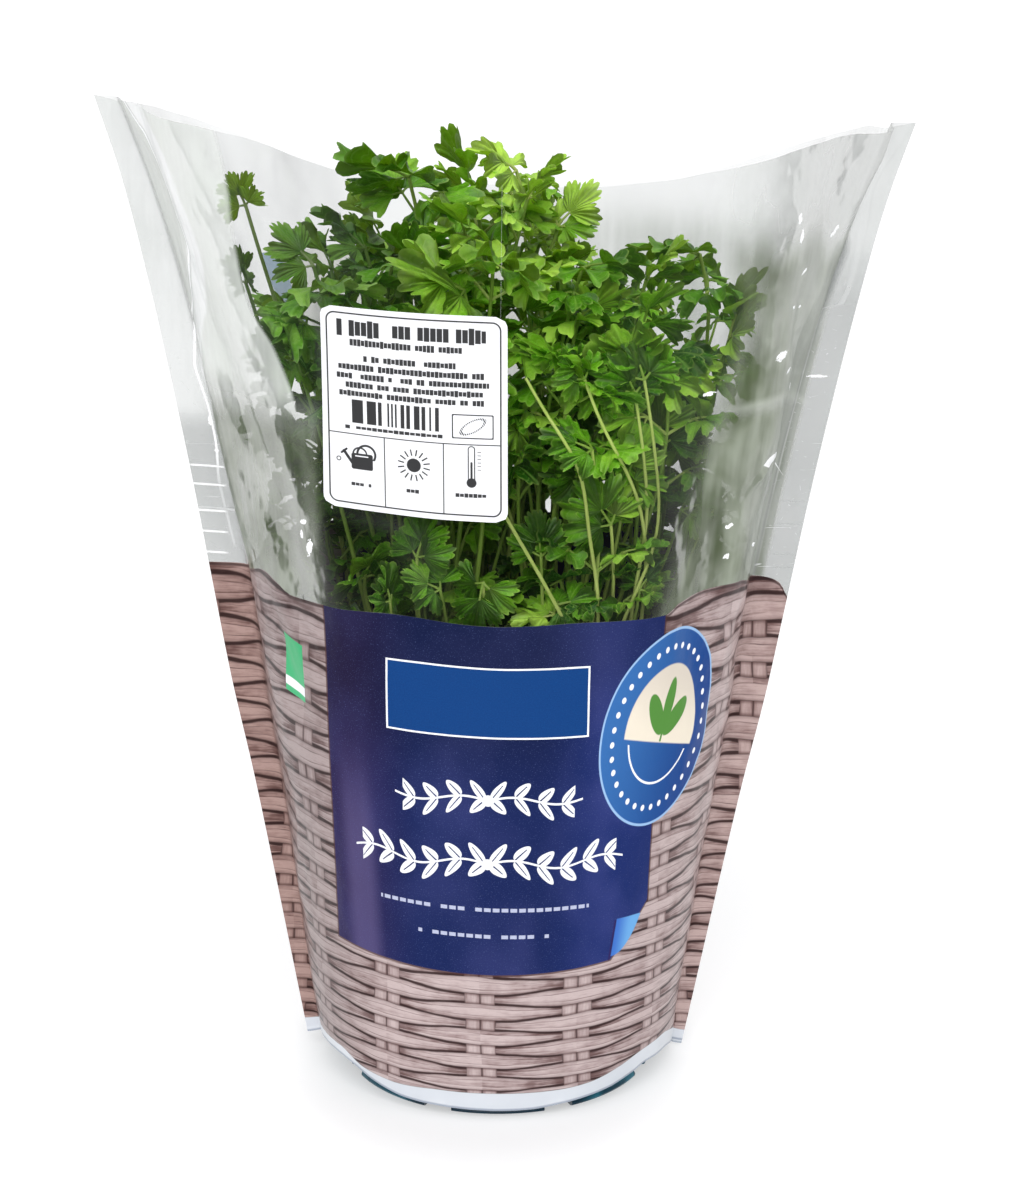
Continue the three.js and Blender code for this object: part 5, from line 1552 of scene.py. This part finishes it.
def leaf_material():
    t = Tree("parsley")
    u, r = t.uv("leaf")
    tone, kind = t.attribute("tone"), t.attribute("kind")
    px, py, pz = t.place()
    v = t.vec(px * 1000.0, py * 1000.0, pz * 1000.0)
    n = t.noise(v, 0.16, 2.0)
    fine = t.noise(v, 1.3, 3.0, 0.6)
    lf = (u.fract() - 0.5).abs()
    rib = lf.step(0.075, 0.015) * (1.0 - r * 0.6)
    ribs = ((r * 4.6 - lf * 2.6).fract() - 0.5).abs().step(0.13, 0.02) * 0.5 * lf.step(0.0, 0.1)
    veins = rib.max(ribs)
    k = (tone + (n - 0.5) * 0.55 + (fine - 0.5) * 0.25).clamp()
    blade = t.mix(k.step(0.0, 0.55), rgb(26, 72, 6), rgb(92, 150, 24))
    blade = t.mix(k.step(0.42, 0.95), blade, rgb(166, 202, 76))
    blade = t.mix(veins * 0.42, blade, rgb(164, 204, 96))
    # painted highlight: the toothed rims are paler
    blade = t.mix(r.step(0.91, 1.0) * 0.34, blade, rgb(176, 200, 104))
    stem = t.mix(n, rgb(112, 150, 50), rgb(158, 188, 84))
    stem = t.mix(tone.step(0.50, 0.72), stem, t.mix(n, rgb(168, 192, 84), rgb(212, 224, 136)))
    low = (pz * 1000.0).step(190.0, 100.0)
    stem = t.mix(low * 0.6, stem, rgb(214, 224, 146))
    col = t.mix(kind, blade, stem)
    # painted light and shade: the grown leaves in the middle are brighter, those at the left darker and bluer
    mm = pz * 1000.0
    col = t.times(col, 1.0 + mm.step(258.0, 236.0) * (0.12 + mm.step(190.0, 214.0) * 0.50 + kind * 0.10))
    col = t.mix((px * 1000.0).step(-14.0, -44.0) * mm.step(190.0, 214.0) * 0.8, col, t.tint(col, (0.50, 0.56, 0.95)))
    # little light gets between the outer leaves
    inside = (py * 1000.0).abs().step(50.0, 14.0) * mm.step(276.0, 244.0) * (1.0 - kind * 0.4)
    col = t.mix(inside * 0.66, col, t.tint(col, (0.26, 0.34, 0.30)))
    # what lies level catches the light, and the folds near the stalk are darker
    level = t.attribute("level")
    lit = (level.step(0.05, 0.95) * 1.42 + 0.28) * (r.step(0.0, 0.62) * 0.30 + 0.78)
    col = t.times(col, lit + (1.0 - lit) * kind)
    glow = t.mix(kind, t.mix(k, rgb(96, 160, 0), rgb(176, 214, 30)), rgb(170, 196, 60))
    bump = t.bump(fine * 0.5 + veins * -0.8, 0.4, 0.0006)
    skin = t.shader("ShaderNodeBsdfPrincipled", Base_Color=col, Roughness=0.36, Specular_IOR_Level=0.45, Normal=bump)
    through = t.shader("ShaderNodeBsdfTranslucent", Color=glow)
    return t.finish(t.blend(0.30, skin, through))


parsley = leaf_material()
for i, (crown_xy, leaves) in enumerate(SEEDLINGS):
    name = "seedling_%02d" % (i + 1)
    plant = make_seedling(name, crown_xy, leaves, i)
    plant.data.materials.append(parsley)
    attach(plant, "root")
    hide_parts(name)

# ---------------------------------------------------------------- stage, light
floor = make_mesh("floor", [[-9000, -3000, 0], [9000, -3000, 0], [9000, 16000, 0], [-9000, 16000, 0]], [(0, 1, 2, 3)], smooth=False)
t = Tree("floor")
fx_, fy_, fz_ = t.place()
soft = t.noise(t.vec(fx_ * 0.5, fy_ * 0.5), 1.0, 1.0)
pale = t.mix(soft, rgb(176, 176, 177), rgb(180, 180, 181))
ex, ey = (fx_ * 1000.0 + 3.0) / 74.0, (fy_ * 1000.0 + 16.0) / 80.0
near = (ex * ex + ey * ey).step(1.05, 0.25)  # less light reaches the floor round the foot
floor.data.materials.append(t.finish(t.shader("ShaderNodeBsdfPrincipled", Base_Color=pale, Roughness=0.7, Specular_IOR_Level=0.1, Emission_Color=(1.0, 1.0, 1.0), Emission_Strength=0.66 - near * 0.22)))
floor.visible_glossy = False

world = bpy.data.worlds.new("studio")
bpy.context.scene.world = world
world.use_nodes = True
wn = world.node_tree
wn.nodes.clear()
w_out = wn.nodes.new("ShaderNodeOutputWorld")
w_cam = wn.nodes.new("ShaderNodeBackground")
w_cam.inputs["Color"].default_value = (1, 1, 1, 1)
w_cam.inputs["Strength"].default_value = 1.0
w_fill = wn.nodes.new("ShaderNodeBackground")
w_fill.inputs["Color"].default_value = (0.97, 0.98, 1.0, 1)
w_fill.inputs["Strength"].default_value = 0.36
# what the film mirrors: a dim room in front, bright walls at the sides and behind
w_gloss = wn.nodes.new("ShaderNodeBackground")
w_dir = wn.nodes.new("ShaderNodeTexCoord")
w_sep = wn.nodes.new("ShaderNodeSeparateXYZ")
w_step = wn.nodes.new("ShaderNodeMapRange")
w_step.interpolation_type = "SMOOTHSTEP"
w_step.inputs["From Min"].default_value = 0.16
w_step.inputs["From Max"].default_value = 0.26
w_step.inputs["To Min"].default_value = 0.12
w_step.inputs["To Max"].default_value = 0.84
wn.links.new(w_dir.outputs["Generated"], w_sep.inputs[0])
wn.links.new(w_sep.outputs["Y"], w_step.inputs["Value"])
# the right wall is a little darker than the left one
w_side = wn.nodes.new("ShaderNodeMapRange")
w_side.inputs["From Min"].default_value = -0.9
w_side.inputs["From Max"].default_value = 0.9
w_side.inputs["To Min"].default_value = 1.05
w_side.inputs["To Max"].default_value = 0.78
wn.links.new(w_sep.outputs["X"], w_side.inputs["Value"])
w_times = wn.nodes.new("ShaderNodeMath")
w_times.operation = "MULTIPLY"
wn.links.new(w_step.outputs[0], w_times.inputs[0])
wn.links.new(w_side.outputs[0], w_times.inputs[1])
wn.links.new(w_times.outputs[0], w_gloss.inputs["Strength"])
w_gloss.inputs["Color"].default_value = (1, 1, 1, 1)
w_path = wn.nodes.new("ShaderNodeLightPath")
w_mix1 = wn.nodes.new("ShaderNodeMixShader")
wn.links.new(w_path.outputs["Is Glossy Ray"], w_mix1.inputs[0])
wn.links.new(w_fill.outputs[0], w_mix1.inputs[1])
wn.links.new(w_gloss.outputs[0], w_mix1.inputs[2])
w_mix = wn.nodes.new("ShaderNodeMixShader")
wn.links.new(w_path.outputs["Is Camera Ray"], w_mix.inputs[0])
wn.links.new(w_mix1.outputs[0], w_mix.inputs[1])
wn.links.new(w_cam.outputs[0], w_mix.inputs[2])
wn.links.new(w_mix.outputs[0], w_out.inputs[0])


def area_light(name, at, look, size, power, colour=(1, 1, 1)):
    from mathutils import Vector
    data = bpy.data.lights.new(name, "AREA")
    data.shape = "RECTANGLE"
    data.size, data.size_y = size
    data.energy = power
    data.color = colour
    ob = bpy.data.objects.new(name, data)
    bpy.context.scene.collection.objects.link(ob)
    ob.location = at
    ob.rotation_euler = (Vector(look) - Vector(at)).to_track_quat("-Z", "Y").to_euler()
    ob.visible_camera = False
    ob.visible_glossy = False
    return ob


area_light("left_box", (-0.62, 0.12, 0.22), (0, 0.03, 0.14), (0.75, 0.8), 0.9)
area_light("right_box", (0.66, 0.16, 0.22), (0, 0.03, 0.14), (0.75, 0.8), 0.9)
sun = bpy.data.lights.new("overhead", "SUN")
sun.energy = 2.9
sun.angle = math.radians(60)
sun_ob = bpy.data.objects.new("overhead", sun)
bpy.context.scene.collection.objects.link(sun_ob)
sun_ob.rotation_euler = (math.radians(46), math.radians(-3), 0)

bpy.context.scene.view_settings.view_transform = "Standard"
bpy.context.scene.view_settings.look = "None"
bpy.context.scene.view_settings.exposure = 0.0
bpy.context.scene.cycles.max_bounces = 5
bpy.context.scene.cycles.diffuse_bounces = 3
bpy.context.scene.cycles.glossy_bounces = 2
bpy.context.scene.cycles.transmission_bounces = 3
bpy.context.scene.cycles.transparent_max_bounces = 8
